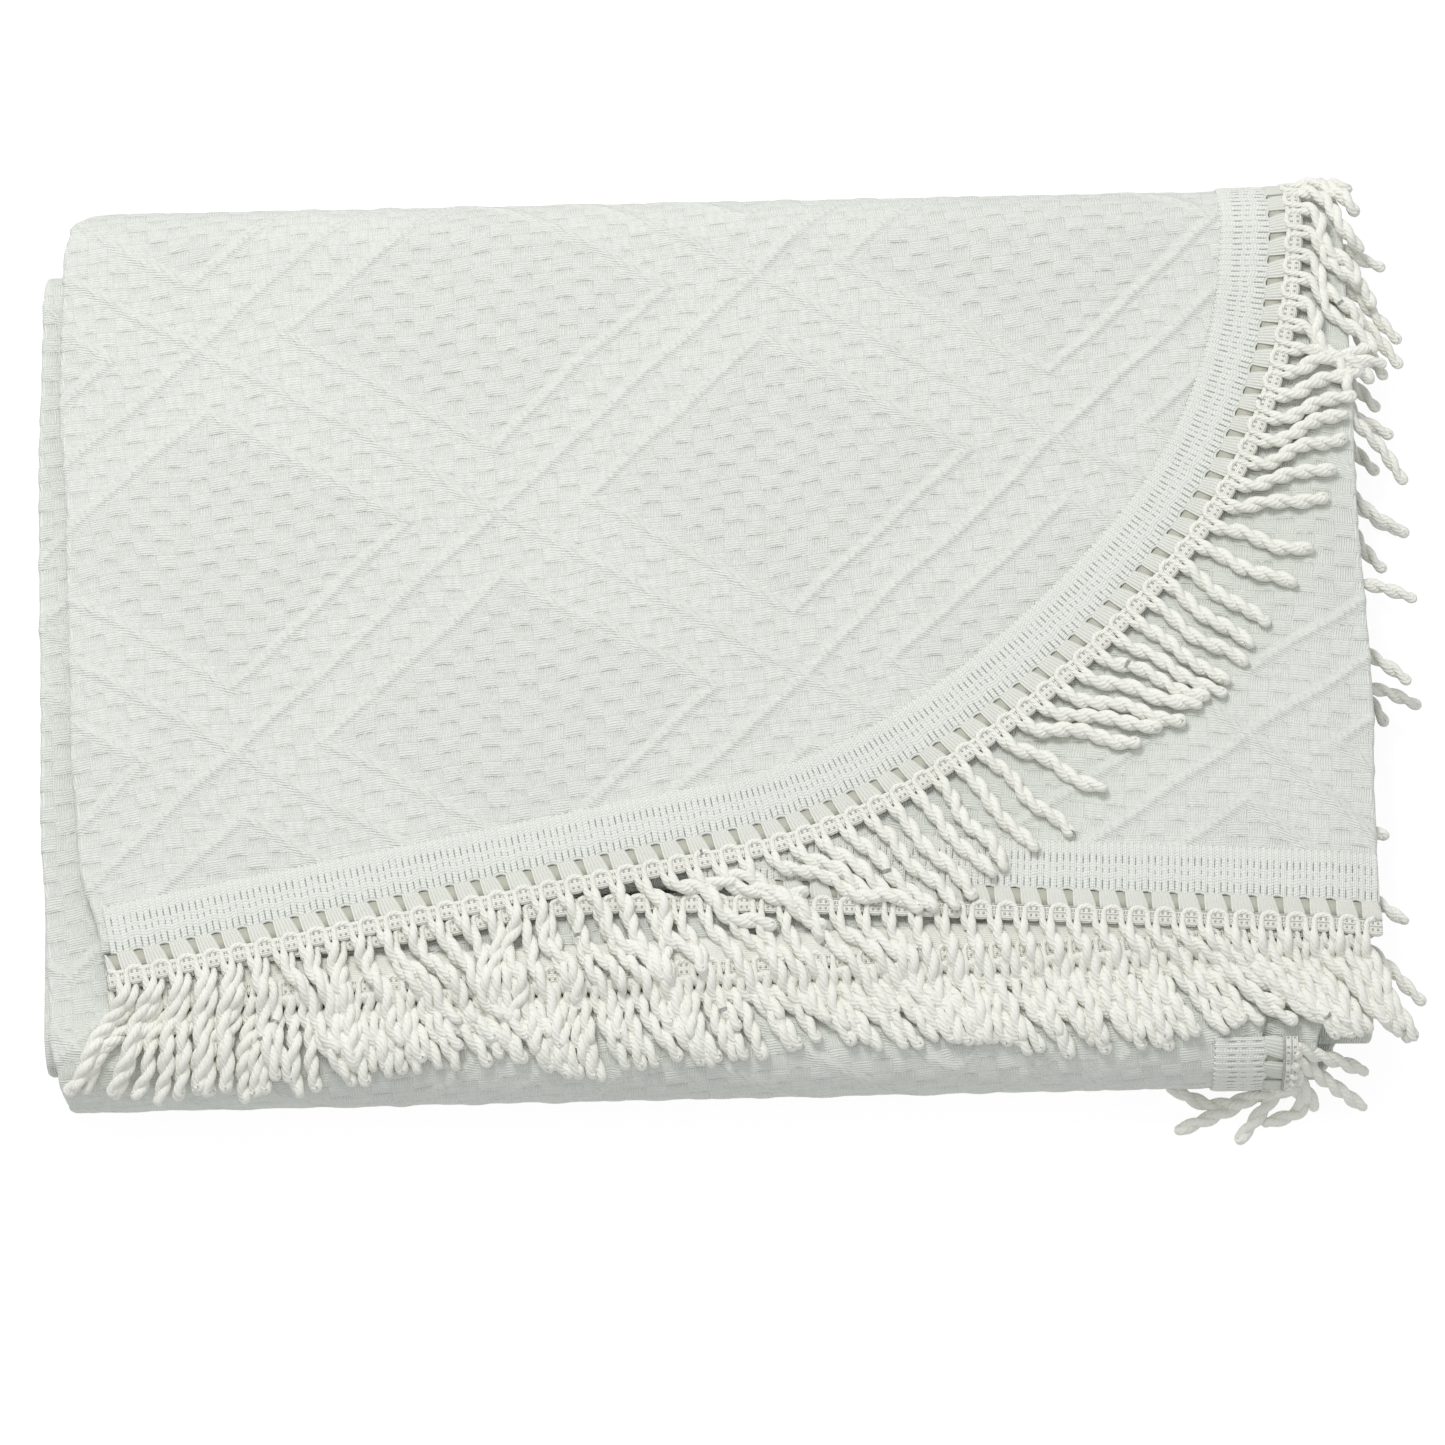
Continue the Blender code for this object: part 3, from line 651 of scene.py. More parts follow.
def foot_rail(table, height, swelling=True):
    """Braid line of a straight foot edge, from the left to the right."""
    x = np.arange(FOOT_TRIM_START, FOOT_TRIM_END + 1.0, 1.0)
    y = through(table, x)
    slope = np.gradient(y, x)
    lift = top_swell(x, y) if swelling else 0 * x
    places = np.stack([x, y, height + lift], axis=-1)
    out = np.stack([slope, -np.ones_like(x), 0 * x], axis=-1)
    return Rail(places, out, np.tile((0.0, 0.0, 1.0), (len(x), 1)))


FRONT_RAIL_START = 20.0


def front_rail():
    """Side edge of ply A where it shows on the front wrap, from its top down."""
    angle = np.radians(np.arange(FRONT_RAIL_START, 152.0, 2.0))
    over = np.stack([0 * angle, -np.sin(angle), np.cos(angle)], axis=-1)
    places = np.array((FRONT_BRAID_X, WRAP_FRONT_Y, WRAP_FRONT_Z)) + over * WRAP_FRONT_RADIUS
    return Rail(places, np.tile((1.0, 0.0, 0.0), (len(angle), 1)), over)


# Third number of a pattern place: a yarn's own length up to YARN_RUN, or one of these kinds
YARN_RUN = 800.0
KIND_STEP = 25.0
THREAD = 900.0
# SHADED marks the low strip behind the openwork, which is coloured as painted shade
SHADED = THREAD + KIND_STEP
LACE = SHADED + KIND_STEP


def carried_sides(ahead, start_side):
    """Sideways directions along a path, each turned as little as possible from the one before."""
    side = np.zeros_like(ahead)
    carried = np.asarray(start_side, float)
    for number, tangent in enumerate(ahead):
        carried = carried - tangent * carried.dot(tangent)
        carried = carried / max(1e-9, math.sqrt(carried.dot(carried)))
        side[number] = carried
    return side


def add_tube(build, path, radii, sides=8, kind=0.0):
    """Round tube along a path, with pattern places that hold its own angle and length."""
    path = np.asarray(path, float)
    ahead = unit(np.gradient(path, axis=0))
    side = carried_sides(ahead, (0, 0, 1))
    other = np.cross(ahead, side)
    angle = np.linspace(0, 2 * math.pi, sides, endpoint=False)
    radii = np.broadcast_to(np.asarray(radii, float), (len(path),))
    ring = side[:, None, :] * np.cos(angle)[None, :, None] + other[:, None, :] * np.sin(angle)[None, :, None]
    rings = path[:, None, :] + ring * radii[:, None, None]
    steps = np.linalg.norm(np.diff(path, axis=0), axis=1)
    run = np.concatenate([[0.0], np.cumsum(steps)])
    places = np.empty(rings.shape)
    places[..., 0] = np.cos(angle)[None, :]
    places[..., 1] = np.sin(angle)[None, :]
    places[..., 2] = kind if kind else (run % YARN_RUN)[:, None]
    loft(build, rings, places)


def bell(value, middle, wide):
    """1 at a middle value, falling off on both sides."""
    return np.exp(-(((value - middle) / wide) ** 2))


def add_strip(build, rail, at, out, up, under, places):
    """Closed strip on a rail: rows of points on top, and two more under each row's ends."""
    low = rail.point(at[:, [-1, 0]], out[:, [-1, 0]], np.full((len(at), 2), under))
    rings = np.concatenate([rail.point(at, out, up), low], axis=1)
    loft(build, rings[:, ::-1], places[:, ::-1])


def tape_section(out_share, along):
    """Relief of the knitted tape: ribs across it, with dents between them in two rows and a chain line."""
    rib = np.abs(np.sin(math.pi * along / RIB_PITCH)) ** 0.8
    rows = 0.5 + 0.5 * bell(out_share, 0.32, 0.1) + 0.5 * bell(out_share, 0.83, 0.1)
    return 0.5 * (rib - 1) * rows + 0.25 * bell(out_share, 0.66, 0.035)


TAPE_COLUMNS = 19


def make_tape(name, rail, start, end, scallop_start, surface, node):
    """A ribbed heading tape on the cloth's face, with a scalloped outer edge."""
    at = np.arange(start, end, RIB_PITCH / 5)
    across = np.linspace(0, 1, TAPE_COLUMNS)
    scallop = 0.9 * np.cos(2 * math.pi * (at - scallop_start) / PITCH)
    loops = 0.45 * np.cos(2 * math.pi * at / RIB_PITCH)
    near = -TAPE_NEAR - TAPE_WIDE + loops
    far = -TAPE_NEAR + 0.3 - scallop
    out = near[:, None] + (far - near)[:, None] * across[None, :]
    rounded = 1 - np.abs(2 * across - 1) ** 8
    up = 0.45 + TAPE_THICK * (0.4 + 0.6 * rounded)[None, :] + tape_section(across[None, :], at[:, None])
    places = np.zeros((len(at), TAPE_COLUMNS + 2, 3))
    places[..., 0] = (at / RIB_PITCH)[:, None]
    places[..., 1] = np.append(across, (1.0, 0.0))
    build = Build()
    add_strip(build, rail, at[:, None] + 0 * out, out, up, 0.1, places)
    return build.piece(name, surface, "tape_white", [node])


OPEN_TOP = 7.1
OPEN_FLARE = 3.6
OPEN_COLUMNS = 25


def add_openwork(build, rail, start, count, draw):
    """Slanted bundles of fine threads from the tape's edge to the braid, each one a rippled strip."""
    share = np.linspace(0, 1, OPEN_COLUMNS)
    run = np.linspace(0, 1, 6)
    ripple = 0.32 * np.cos(2 * math.pi * 6 * share)
    crown = 0.6 * (1 - np.abs(2 * share - 1) ** 3)
    for number in range(count):
        lean = draw.uniform(-0.25, 0.25)
        left = start + number * PITCH - 0.3 + (0.8 + lean) * run**2
        right = left[0] + OPEN_TOP + draw.uniform(-0.5, 0.5) + OPEN_FLARE * run**0.8 + 0 * left
        right = np.minimum(right, rail.length - 0.3)
        at = left[:, None] + (right - left)[:, None] * share[None, :]
        out = (-TAPE_NEAR - 1.0 + (TAPE_NEAR - 1.8) * run)[:, None] + 0 * at
        up = 0.85 + crown[None, :] + ripple[None, :] + 0.35 * np.sin(math.pi * run)[:, None]
        places = np.zeros((len(run), OPEN_COLUMNS + 2, 3))
        places[:, :OPEN_COLUMNS, 0] = share[None, :]
        places[..., 2] = THREAD
        add_strip(build, rail, at, out, up, 0.5, places)


def add_shade_strip(build, rail, start, end):
    """A low strip behind the openwork, coloured as painted shade and seen between its bundles."""
    at = np.arange(start, end, 4.0)
    out = np.array((-TAPE_NEAR - 0.2, -TAPE_NEAR - 0.2, 0.4 - BRAID_HALF, 0.4 - BRAID_HALF))
    up = np.array((0.12, 0.42, 0.42, 0.12))
    rings = rail.point(at[:, None] + 0 * out, out[None, :] + 0 * at[:, None], up[None, :] + 0 * at[:, None])
    places = np.zeros(rings.shape)
    places[..., 2] = SHADED
    loft(build, rings[:, ::-1], places[:, ::-1])


def add_ribbon(build, rail, start, end, near=-BRAID_HALF - 0.2):
    """The braid's flat lace from a root on: a swelling inside each arch and a dip between arches."""
    at = np.linspace(start, end, round((end - start) / PITCH * 12) + 1)
    out = np.linspace(near, BRAID_HALF + 0.6, 9)
    from_middle = np.abs((at - start) / PITCH % 1.0 - 0.5) * PITCH
    swell = smooth(4.6, 1.6, from_middle)
    crown = 1 - np.abs(np.linspace(-1, 1, 9)) ** 4
    up = 1.0 + (0.65 + 0.75 * swell)[:, None] * crown[None, :]
    grid_at, grid_out = np.meshgrid(at, out, indexing="ij")
    grid_out[:, -1] -= 1.6 * (1 - swell)
    places = np.zeros((len(at), 11, 3))
    places[..., 0] = ((at - start) / PITCH)[:, None]
    places[:, :9, 1] = grid_out
    places[..., 2] = LACE
    add_strip(build, rail, grid_at, grid_out, up, 0.3, places)


def add_stitches(build, rail, start, end):
    """Fine threads that run along the braid over its yarn."""
    at = np.arange(start, end, 1.3)
    from_middle = np.abs((at - start) / PITCH % 1.0 - 0.5) * PITCH
    for out in (-3.1, 0.1):
        up = 1.62 + 0.75 * smooth(4.6, 1.6, from_middle)
        add_tube(build, rail.point(at, out + 0 * at, up), 0.32, 6, THREAD)


def cord_line(place, outward, forward, slant, length, curl, wave, phase, steps=38):
    """Plan of a cord's centre: it leaves the braid at a slant in degrees and curls as it goes."""
    at = np.linspace(0, length, steps)
    bend = math.radians(slant) * smooth(-3.0, 10.0, at)
    heading = bend + curl * (np.sin(2 * math.pi * at / wave + phase) - math.sin(phase)) * smooth(0, 12, at)
    ahead = outward[None, :] * np.cos(heading)[:, None] + forward[None, :] * np.sin(heading)[:, None]
    step = length / (steps - 1)
    return place + np.concatenate([[np.zeros(3)], np.cumsum((ahead[1:] + ahead[:-1]) / 2 * step, axis=0)])


def twisted_strands(line, start_side, twist):
    """The two strands' paths about a cord's centre line, which part at the root and close at the tip."""
    ahead = unit(np.gradient(line, axis=0))
    side = carried_sides(ahead, start_side)
    other = np.cross(ahead, side)
    steps = np.linalg.norm(np.diff(line, axis=0), axis=1)
    run = np.concatenate([[0.0], np.cumsum(steps)])
    angle = 2 * math.pi * np.maximum(0.0, run - 1.5) / twist
    gap = STRAND_OFFSET - 0.45 * smooth(run[-1] - 8.0, run[-1], run) + 0.35 * smooth(3.0, 0.0, run)
    swing = side * np.cos(angle)[:, None] + other * np.sin(angle)[:, None]
    first = line + swing * gap[:, None]
    second = line - swing * gap[:, None]
    tip_turn = np.linspace(0, math.pi, 7)[1:-1]
    aside, on = np.cos(tip_turn)[:, None], np.sin(tip_turn)[:, None]
    tip = line[-1] + swing[-1] * gap[-1] * aside + ahead[-1] * 1.5 * on
    return first, tip, second


def add_cord(build, line, start_side, thick=STRAND_RADIUS):
    """One free bullion along a line."""
    first, tip, second = twisted_strands(line, start_side, TWIST_PITCH)
    add_tube(build, np.concatenate([first, tip, second[::-1]]), thick)


def arch_half(rail, root, leading):
    """Half of the arch before or after a bullion's root, and the yarn's radii along it."""
    turn = np.linspace(0, math.pi / 2, 6)
    if not leading:
        turn = turn[::-1]
    side = -1 if leading else 1
    at = root + side * (PITCH / 2 - ARCH_HALF * np.sin(turn))
    return rail.point(at, -0.4 - 3.1 * np.cos(turn), ARCH_RISE + 0 * turn), np.full(6, ARCH_RADIUS)


def grown_cord(rail, root, share, styles, lay, draw, out, steps=38):
    """A cord's laid centre line from its root on the braid, and the braid's own way there."""
    place, outward, normal = rail.frames(root)
    start = place + outward * out + normal * ARCH_RISE
    slant, length, curl, wave, phase = styles(share, place, draw)
    forward = np.cross(normal, outward)
    line = cord_line(start, outward, forward, slant, length, curl, wave, phase, steps)
    return lay(line, start, normal), forward


def yarn_row(build, rail, roots, styles, lay, seed):
    """One yarn along a braid: an arch over each block and, between arches, a twisted bullion."""
    draw = random.Random(seed)
    path, radii = [], []
    for number, root in enumerate(roots):
        share = number / (len(roots) - 1)
        line, forward = grown_cord(rail, root, share, styles, lay, draw, BRAID_HALF - 0.2)
        first, tip, second = twisted_strands(line, -forward, TWIST_PITCH * draw.uniform(0.85, 1.15))
        thick = STRAND_RADIUS * draw.uniform(0.94, 1.06)
        grow = ARCH_RADIUS + (thick - ARCH_RADIUS) * smooth(-1, 3, np.arange(len(first)))
        lead_in, thin = arch_half(rail, root, True)
        lead_out, _ = arch_half(rail, root, False)
        path += [lead_in[:-1], first, tip, second[::-1], lead_out[1:]]
        radii += [thin[1:], grow, np.full(len(tip), thick), grow[::-1], thin[1:]]
    whole, radii = np.concatenate(path), np.concatenate(radii)
    apart = np.concatenate([[True], np.linalg.norm(np.diff(whole, axis=0), axis=1) > 0.15])
    add_tube(build, whole[apart], radii[apart])


def surface_below(y):
    """Top of level 5 and, in front of it, of the front wrap."""
    ahead = np.clip(WRAP_FRONT_Y - y, 0.0, None)
    held = np.minimum(ahead, WRAP_FRONT_RADIUS * 0.62)
    return WRAP_FRONT_Z + np.sqrt(WRAP_FRONT_RADIUS**2 - held**2) - 0.5 * (ahead - held)


EDGE_X = 289.0
EDGE_BEND = 9.0
CORD_FLOOR = STRAND_RADIUS + STRAND_OFFSET + 0.3


def ground_c(x, y):
    """What the lowest cords lie on, from the back to the front."""
    return surface_below(y) - 0.2


def past_braid(foot, y, behind, ahead):
    """Ground behind a braid, with the braid itself, going over to the ground ahead of it."""
    behind = behind + 1.9 * bell(y, foot, 5.0)
    return behind + (ahead - behind) * smooth(foot - 3.0, foot - 14.0, y)


def ground_b(x, y):
    """What ply B's cords lie on: ply C and its braid, then ply C's cords."""
    return past_braid(through(FOOT_BRAID_C, x), y, TOP_C + 0.2, ground_c(x, y) + 2.0)


def ground_a(x, y):
    """What ply A's cords lie on: ply B with its tape and braid, then ply B's cords."""
    foot = through(FOOT_BRAID_B, x)
    on_tape = smooth(foot + 8.0, foot + 12.0, y) * smooth(foot + 37.0, foot + 33.0, y)
    return past_braid(foot, y, TOP_B + 0.3 + top_swell(x, y) + 1.2 * on_tape, ground_b(x, y) + 1.9)


def lay_on(ground, seed):
    """A lay function: from the braid's height a cord settles onto the ground and lies a little unevenly."""
    draw = random.Random(seed)

    def lay(line, start, normal):
        run = np.linspace(0, 1, len(line)) * CORD_LENGTH
        target = ground(line[:, 0], line[:, 1]) + CORD_RISE
        wobble = 0.5 * np.sin(run / 6.5 + draw.uniform(0, 6.0))
        laid = line.copy()
        laid[:, 2] = start[2] + (target + wobble - start[2]) * smooth(0.0, SETTLE, run)
        return laid

    return lay


TIP_LINE = (
    # x, y
    (-296, -194), (-252, -202), (-199, -200), (-153, -193), (-72, -193), (-7, -188), (57, -190),
    (112, -186), (208, -186), (289, -194),
)
CORNER_SLANTS = (
    # share of row, slant
    (0.00, -27), (0.05, -8), (0.10, 6), (0.16, 10), (0.21, 22), (0.26, 34), (0.31, 40), (0.36, 36),
    (0.43, 26), (0.48, 19), (0.53, 14), (0.57, 24), (0.61, 20), (0.64, 10), (0.68, 10), (0.72, 30),
    (0.76, 34), (0.80, 42), (0.83, 28), (0.86, 0), (0.88, -26), (0.92, -36), (1.00, -26),
)
CORNER_CURLS = (
    # share of row, curl in radians
    (0.00, 0.15), (0.18, 0.25), (0.25, 0.52), (0.34, 0.52), (0.40, 0.25), (0.60, 0.22), (0.84, 0.26),
    (0.88, 0.55), (1.00, 0.55),
)
CORNER_LENGTHS = (
    # share of row, share of a cord's length
    (0.00, 1.0), (0.60, 1.0), (0.72, 0.84), (0.84, 0.78), (0.88, 0.92), (0.92, 0.86), (1.00, 0.66),
)
FOOT_SLANTS = (
    # share of row, slant
    (0.00, -22), (0.10, 0), (0.22, 12), (0.32, 26), (0.45, 30), (0.60, 30), (0.70, 36), (0.76, 42),
    (0.86, 45), (0.93, 40), (1.00, 30),
)
FOOT_CURLS = (
    # share of row, curl in radians
    (0.00, 0.26), (0.40, 0.22), (1.00, 0.18),
)
UNDER_SLANTS = (
    # share of row, slant
    (0.00, -16), (0.12, 4), (0.22, 14), (0.32, 30), (0.50, 34), (0.75, 40), (0.94, 34), (1.00, 26),
)


def combed(place):
    """Shared turn and phase of neighbouring cords, which lie as they were combed."""
    along = place[0] + 0.8 * place[1]
    turn = 5.0 * math.sin(along / 14.0) + 4.0 * math.sin(along / 8.3 + 1.0)
    return turn, 2.4 * math.sin(along / 31.0 + 0.7)


def corner_styles(share, place, draw):
    """Slant, length, curl, wave and phase of a cord on ply A."""
    turn, phase = combed(place)
    slant = float(ramp(CORNER_SLANTS, share)) + turn + draw.uniform(-5, 5)
    curl = float(ramp(CORNER_CURLS, share)) * draw.uniform(0.6, 1.2)
    length = CORD_LENGTH * draw.uniform(0.92, 1.05) * float(ramp(CORNER_LENGTHS, share))
    if share < 0.36:
        length = min(length, (place[1] - float(through(TIP_LINE, place[0])) - 3) * draw.uniform(0.94, 1.08))
    return slant, length, curl, draw.uniform(32, 40), phase + draw.uniform(-0.7, 0.7)


def foot_styles(slants):
    """A style function for a straight row, whose cords end about at the line of tips."""

    def style(share, place, draw):
        turn, phase = combed(place)
        slant = float(ramp(slants, share)) + turn + draw.uniform(-3.5, 3.5)
        curl = float(ramp(FOOT_CURLS, share)) * draw.uniform(0.6, 1.2)
        reach = place[1] - float(through(TIP_LINE, place[0])) - 6
        length = reach / math.cos(math.radians(slant)) * draw.uniform(0.92, 1.06)
        length = min(LONGEST_CORD - 8.0 * float(smooth(0.92, 0.98, share)), max(SHORTEST_CORD, length))
        return slant, length, curl, draw.uniform(32, 40), phase + draw.uniform(-0.45, 0.45)

    return style


FRONT_CORDS = (
    # angle of the root from the wrap's top, then three places of the cord's middle
    (104, (240, -199, 10), (216, -203, 4.5), (198, -194.5, 3.6)),
    (92, (240, -199, 15), (222, -205.5, 5.5), (201, -213.5, 3.6)),
    (80, (246, -198.5, 21), (238, -206, 9), (227.5, -218, 3.6)),
    (70, (251, -199.5, 24), (254, -207, 9), (240, -211, 3.6)),
    (60, (252, -198, 28), (257, -203, 19), (260, -205.5, 11)),
    (48, (256, -195, 34), (268, -200, 22), (281, -206, 11)),
    (36, (257, -190, 40), (270, -192, 33), (281, -194, 26)),
)
SIDE_CORDS = (
    # level above the recess, tip x, tip y, slant
    (6, 315, 153, -44), (6, 315, 141, -46), (6, 307, 133, -56), (6, 314, 84, -48), (6, 314, 24, -14),
    (6, 294, -91, -20), (6, 309, 188, -20), (6, 286, 52, -25), (6, 285, 5, 10), (6, 287, -58, -15),
    (6, 284, 100, -20), (6, 286, 168, -15), (6, 301, -130, -30), (6, 287, -30, -22),
    (5, 304, 122, -40), (5, 309, 108, -28), (5, 314, 61, -30), (5, 310, -13, -36), (5, 308, -164, -42),
    (5, 288, 176, -20), (5, 287, 28, 15), (5, 286, -75, -18), (5, 286, -115, 8),
    (4, 304, 111, -48), (4, 303, 45, -50), (4, 316, -19, -10), (4, 286, 150, -16), (4, 287, 84, 12),
    (4, 286, -98, -22), (4, 288, -60, 6),
    (3, 304, 98, -46), (3, 301, -26, -58), (3, 286, 10, -14), (3, 287, 172, 8), (3, 287, -140, -16),
    (2, 314, 72, -26), (2, 287, 130, -18), (2, 286, 36, 10), (2, 287, -45, -24), (2, 286, -88, 4),
)


SIDE_ROOT_X = 262.0
SIDE_DROP_X = 294.0
SIDE_REACH = 50.0


def bent_over(line, drop):
    """A line whose part past the right fold bends down over it by an angle."""
    past = np.clip(line[:, 0] - EDGE_X, 0.0, None)
    turn = np.minimum(past / EDGE_BEND, drop)
    straight = past - EDGE_BEND * turn
    bent = line.copy()
    bent[:, 0] += EDGE_BEND * np.sin(turn) + straight * np.cos(turn) - past
    bent[:, 2] -= EDGE_BEND * (1 - np.cos(turn)) + straight * np.sin(turn)
    bent[:, 2] = np.maximum(bent[:, 2], CORD_FLOOR)
    return bent


def over_wrap(line, start, normal):
    """A cord of the back wrap, laid on its curved surface."""
    angle = math.atan2(normal[1], normal[2])
    forward = np.array((0.0, math.cos(angle), -math.sin(angle)))
    arc = WRAP_BACK_RADIUS * angle + (line - start) @ forward
    turn = np.maximum(arc, 0.0) / WRAP_BACK_RADIUS
    run = np.linspace(0, 1, len(line)) * CORD_LENGTH
    radius = WRAP_BACK_RADIUS + ARCH_RISE + (CORD_RISE - ARCH_RISE) * smooth(0.0, SETTLE, run)
    laid = line.copy()
    laid[:, 1] = WRAP_BACK_Y + radius * np.sin(turn) + np.minimum(arc, 0.0)
    laid[:, 2] = WRAP_BACK_Z + radius * np.cos(turn)
    return laid


def make_corner_fringe(surface):
    """The row of ply A, round the corner and over the back wrap."""
    rail = corner_rail()
    count = int((rail.length - 8) / PITCH)
    build = Build()
    roots = [CORNER_ROOT + PITCH * number for number in range(count)]
    lay_flat = lay_on(ground_a, 3)
    draw = random.Random(8)

    def lay(line, start, normal):
        if normal[2] > 0.999:
            return bent_over(lay_flat(line, start, normal), draw.uniform(0.3, 0.9))
        return bent_over(over_wrap(line, start, normal), draw.uniform(0.8, 1.3))

    yarn_row(build, rail, roots, corner_styles, lay, 11)
    add_ribbon(build, rail, roots[0] - PITCH, roots[-1] + PITCH * 0.6)
    add_stitches(build, rail, roots[0] - PITCH, rail.length - 1.0)
    add_openwork(build, rail, roots[0] - PITCH, count + 1, random.Random(4))
    add_shade_strip(build, rail, roots[0] - PITCH, rail.length)
    nodes = ["bullion_fringe_corner", "bullion_fringe_back"]
    return build.piece("fringe_corner", surface, "cord_white", nodes)


def make_foot_fringes(surface):
    """The straight rows of plies B and C. Ply C's has single cords between those of its yarn."""
    lay_b, lay_c, draw = lay_on(ground_b, 7), lay_on(ground_c, 9), random.Random(24)

    def lay_under(*cord):
        return bent_over(lay_c(*cord), draw.uniform(0.6, 1.1))

    rail = foot_rail(FOOT_BRAID_B, TOP_B)
    roots = np.arange(FOOT_ROOT, rail.length - 4.0, PITCH)
    build = Build()
    yarn_row(build, rail, roots, foot_styles(FOOT_SLANTS),
             lambda *cord: bent_over(lay_b(*cord), draw.uniform(0.4, 0.9)), 21)
    add_ribbon(build, rail, roots[0] - PITCH, rail.length - 0.5)
    shown = int(np.searchsorted(roots, FOOT_SHOWN))
    add_stitches(build, rail, roots[shown], rail.length - 0.5)
    add_openwork(build, rail, roots[shown] - PITCH, len(roots) - shown + 1, random.Random(5))
    add_shade_strip(build, rail, roots[shown] - PITCH, rail.length)
    foot = build.piece("fringe_foot", surface, "cord_white", ["bullion_fringe_foot"])
    rail = foot_rail(FOOT_BRAID_C, TOP_C, False)
    roots = np.arange(UNDER_ROOT, rail.length - 4.0, PITCH)
    build = Build()
    styles = foot_styles(UNDER_SLANTS)
    yarn_row(build, rail, roots, styles, lay_under, 22)
    add_ribbon(build, rail, roots[0] - PITCH, rail.length - 0.5, near=-CLOTH_EDGE - 1.0)
    for root in roots[:-1] + PITCH / 2:
        share = root / rail.length
        add_cord(build, *grown_cord(rail, root, share, styles, lay_under, draw, BRAID_HALF, 30))
    under = build.piece("fringe_foot_under", surface, "cord_white", ["bullion_fringe_foot_under"])
    return foot, under


def smooth_line(points, count):
    """A Catmull-Rom line through a few places."""
    points = np.asarray(points, float)
    run = np.linspace(0, len(points) - 1, count)
    index = np.clip(run.astype(int), 0, len(points) - 2)
    share = (run - index)[:, None]
    before = points[np.maximum(index - 1, 0)]
    start, end = points[index], points[index + 1]
    after = points[np.minimum(index + 2, len(points) - 1)]
    return 0.5 * (
        2 * start
        + (end - before) * share
        + (2 * before - 5 * start + 4 * end - after) * share**2
        + (3 * start - before - 3 * end + after) * share**3
    )


def make_front_fringe(surface):
    """The bunch of cords from the side edge where it shows on the front wrap."""
    rail = front_rail()
    build = Build()
    for angle, *places in FRONT_CORDS:
        at = math.radians(angle - FRONT_RAIL_START) * WRAP_FRONT_RADIUS
        place, outward, normal = rail.frames(at)
        root = place + outward * 2.0 + normal * 1.6
        line = smooth_line([root, *places], 40)
        line[:, 2] = np.maximum(line[:, 2], CORD_FLOOR)
        add_cord(build, line, np.cross(normal, outward))
    add_ribbon(build, rail, 1.0, rail.length - 1.0)
    add_stitches(build, rail, 1.0, rail.length - 1.0)
    add_openwork(build, rail, 1.0, int(rail.length / PITCH), random.Random(6))
    add_shade_strip(build, rail, 1.0, rail.length - 1.0)
    return build.piece("fringe_front", surface, "cord_white", ["bullion_fringe_front"])


def make_side_fringes(surface):
    """Cords of the side edges inside the roll, whose tips come out on the right."""
    made = []
    for number, level in enumerate((6, 5, 4, 3, 2), start=1):
        height = level_height(level) - PACKET / 2
        build = Build()
        draw = random.Random(30 + number)
        for row_level, tip_x, tip_y, slant in SIDE_CORDS:
            if row_level != level:
                continue
            turn = math.radians(slant)
            reach = min(SIDE_REACH, (tip_x - SIDE_ROOT_X) / math.cos(turn))
            root = np.array((tip_x - reach * math.cos(turn), tip_y - reach * math.sin(turn), height))
            line = cord_line(root, np.array((1.0, 0, 0)), np.array((0, 1.0, 0)), slant, reach,
                             draw.uniform(0.05, 0.25), draw.uniform(26, 40), draw.uniform(0, 6.28), steps=32)
            line += (np.array((tip_x, tip_y, height)) - line[-1]) * np.linspace(0, 1, len(line))[:, None]
            line[:, 2] -= np.clip(line[:, 0] - SIDE_DROP_X, 0, None) * draw.uniform(0.1, 0.5)
            line[:, 2] = np.maximum(line[:, 2], CORD_FLOOR)
            add_cord(build, line, np.array((0, 1.0, 0)), SIDE_STRAND_RADIUS)
        node = f"bullion_fringe_side_{number}"
        made.append(build.piece(f"fringe_side_{number}", surface, "cord_white", [node]))
    return made


class Term:
    """A shader value that takes sums and products, so that a pattern reads as a formula."""

    def __init__(self, graph, output):
        self.graph = graph
        self.output = output

    def __add__(self, other):
        return self.graph.math("ADD", self, other)

    def __sub__(self, other):
        return self.graph.math("SUBTRACT", self, other)

    def __rsub__(self, other):
        return self.graph.math("SUBTRACT", other, self)

    def __mul__(self, other):
        return self.graph.math("MULTIPLY", self, other)

    def __abs__(self):
        return self.graph.math("ABSOLUTE", self)


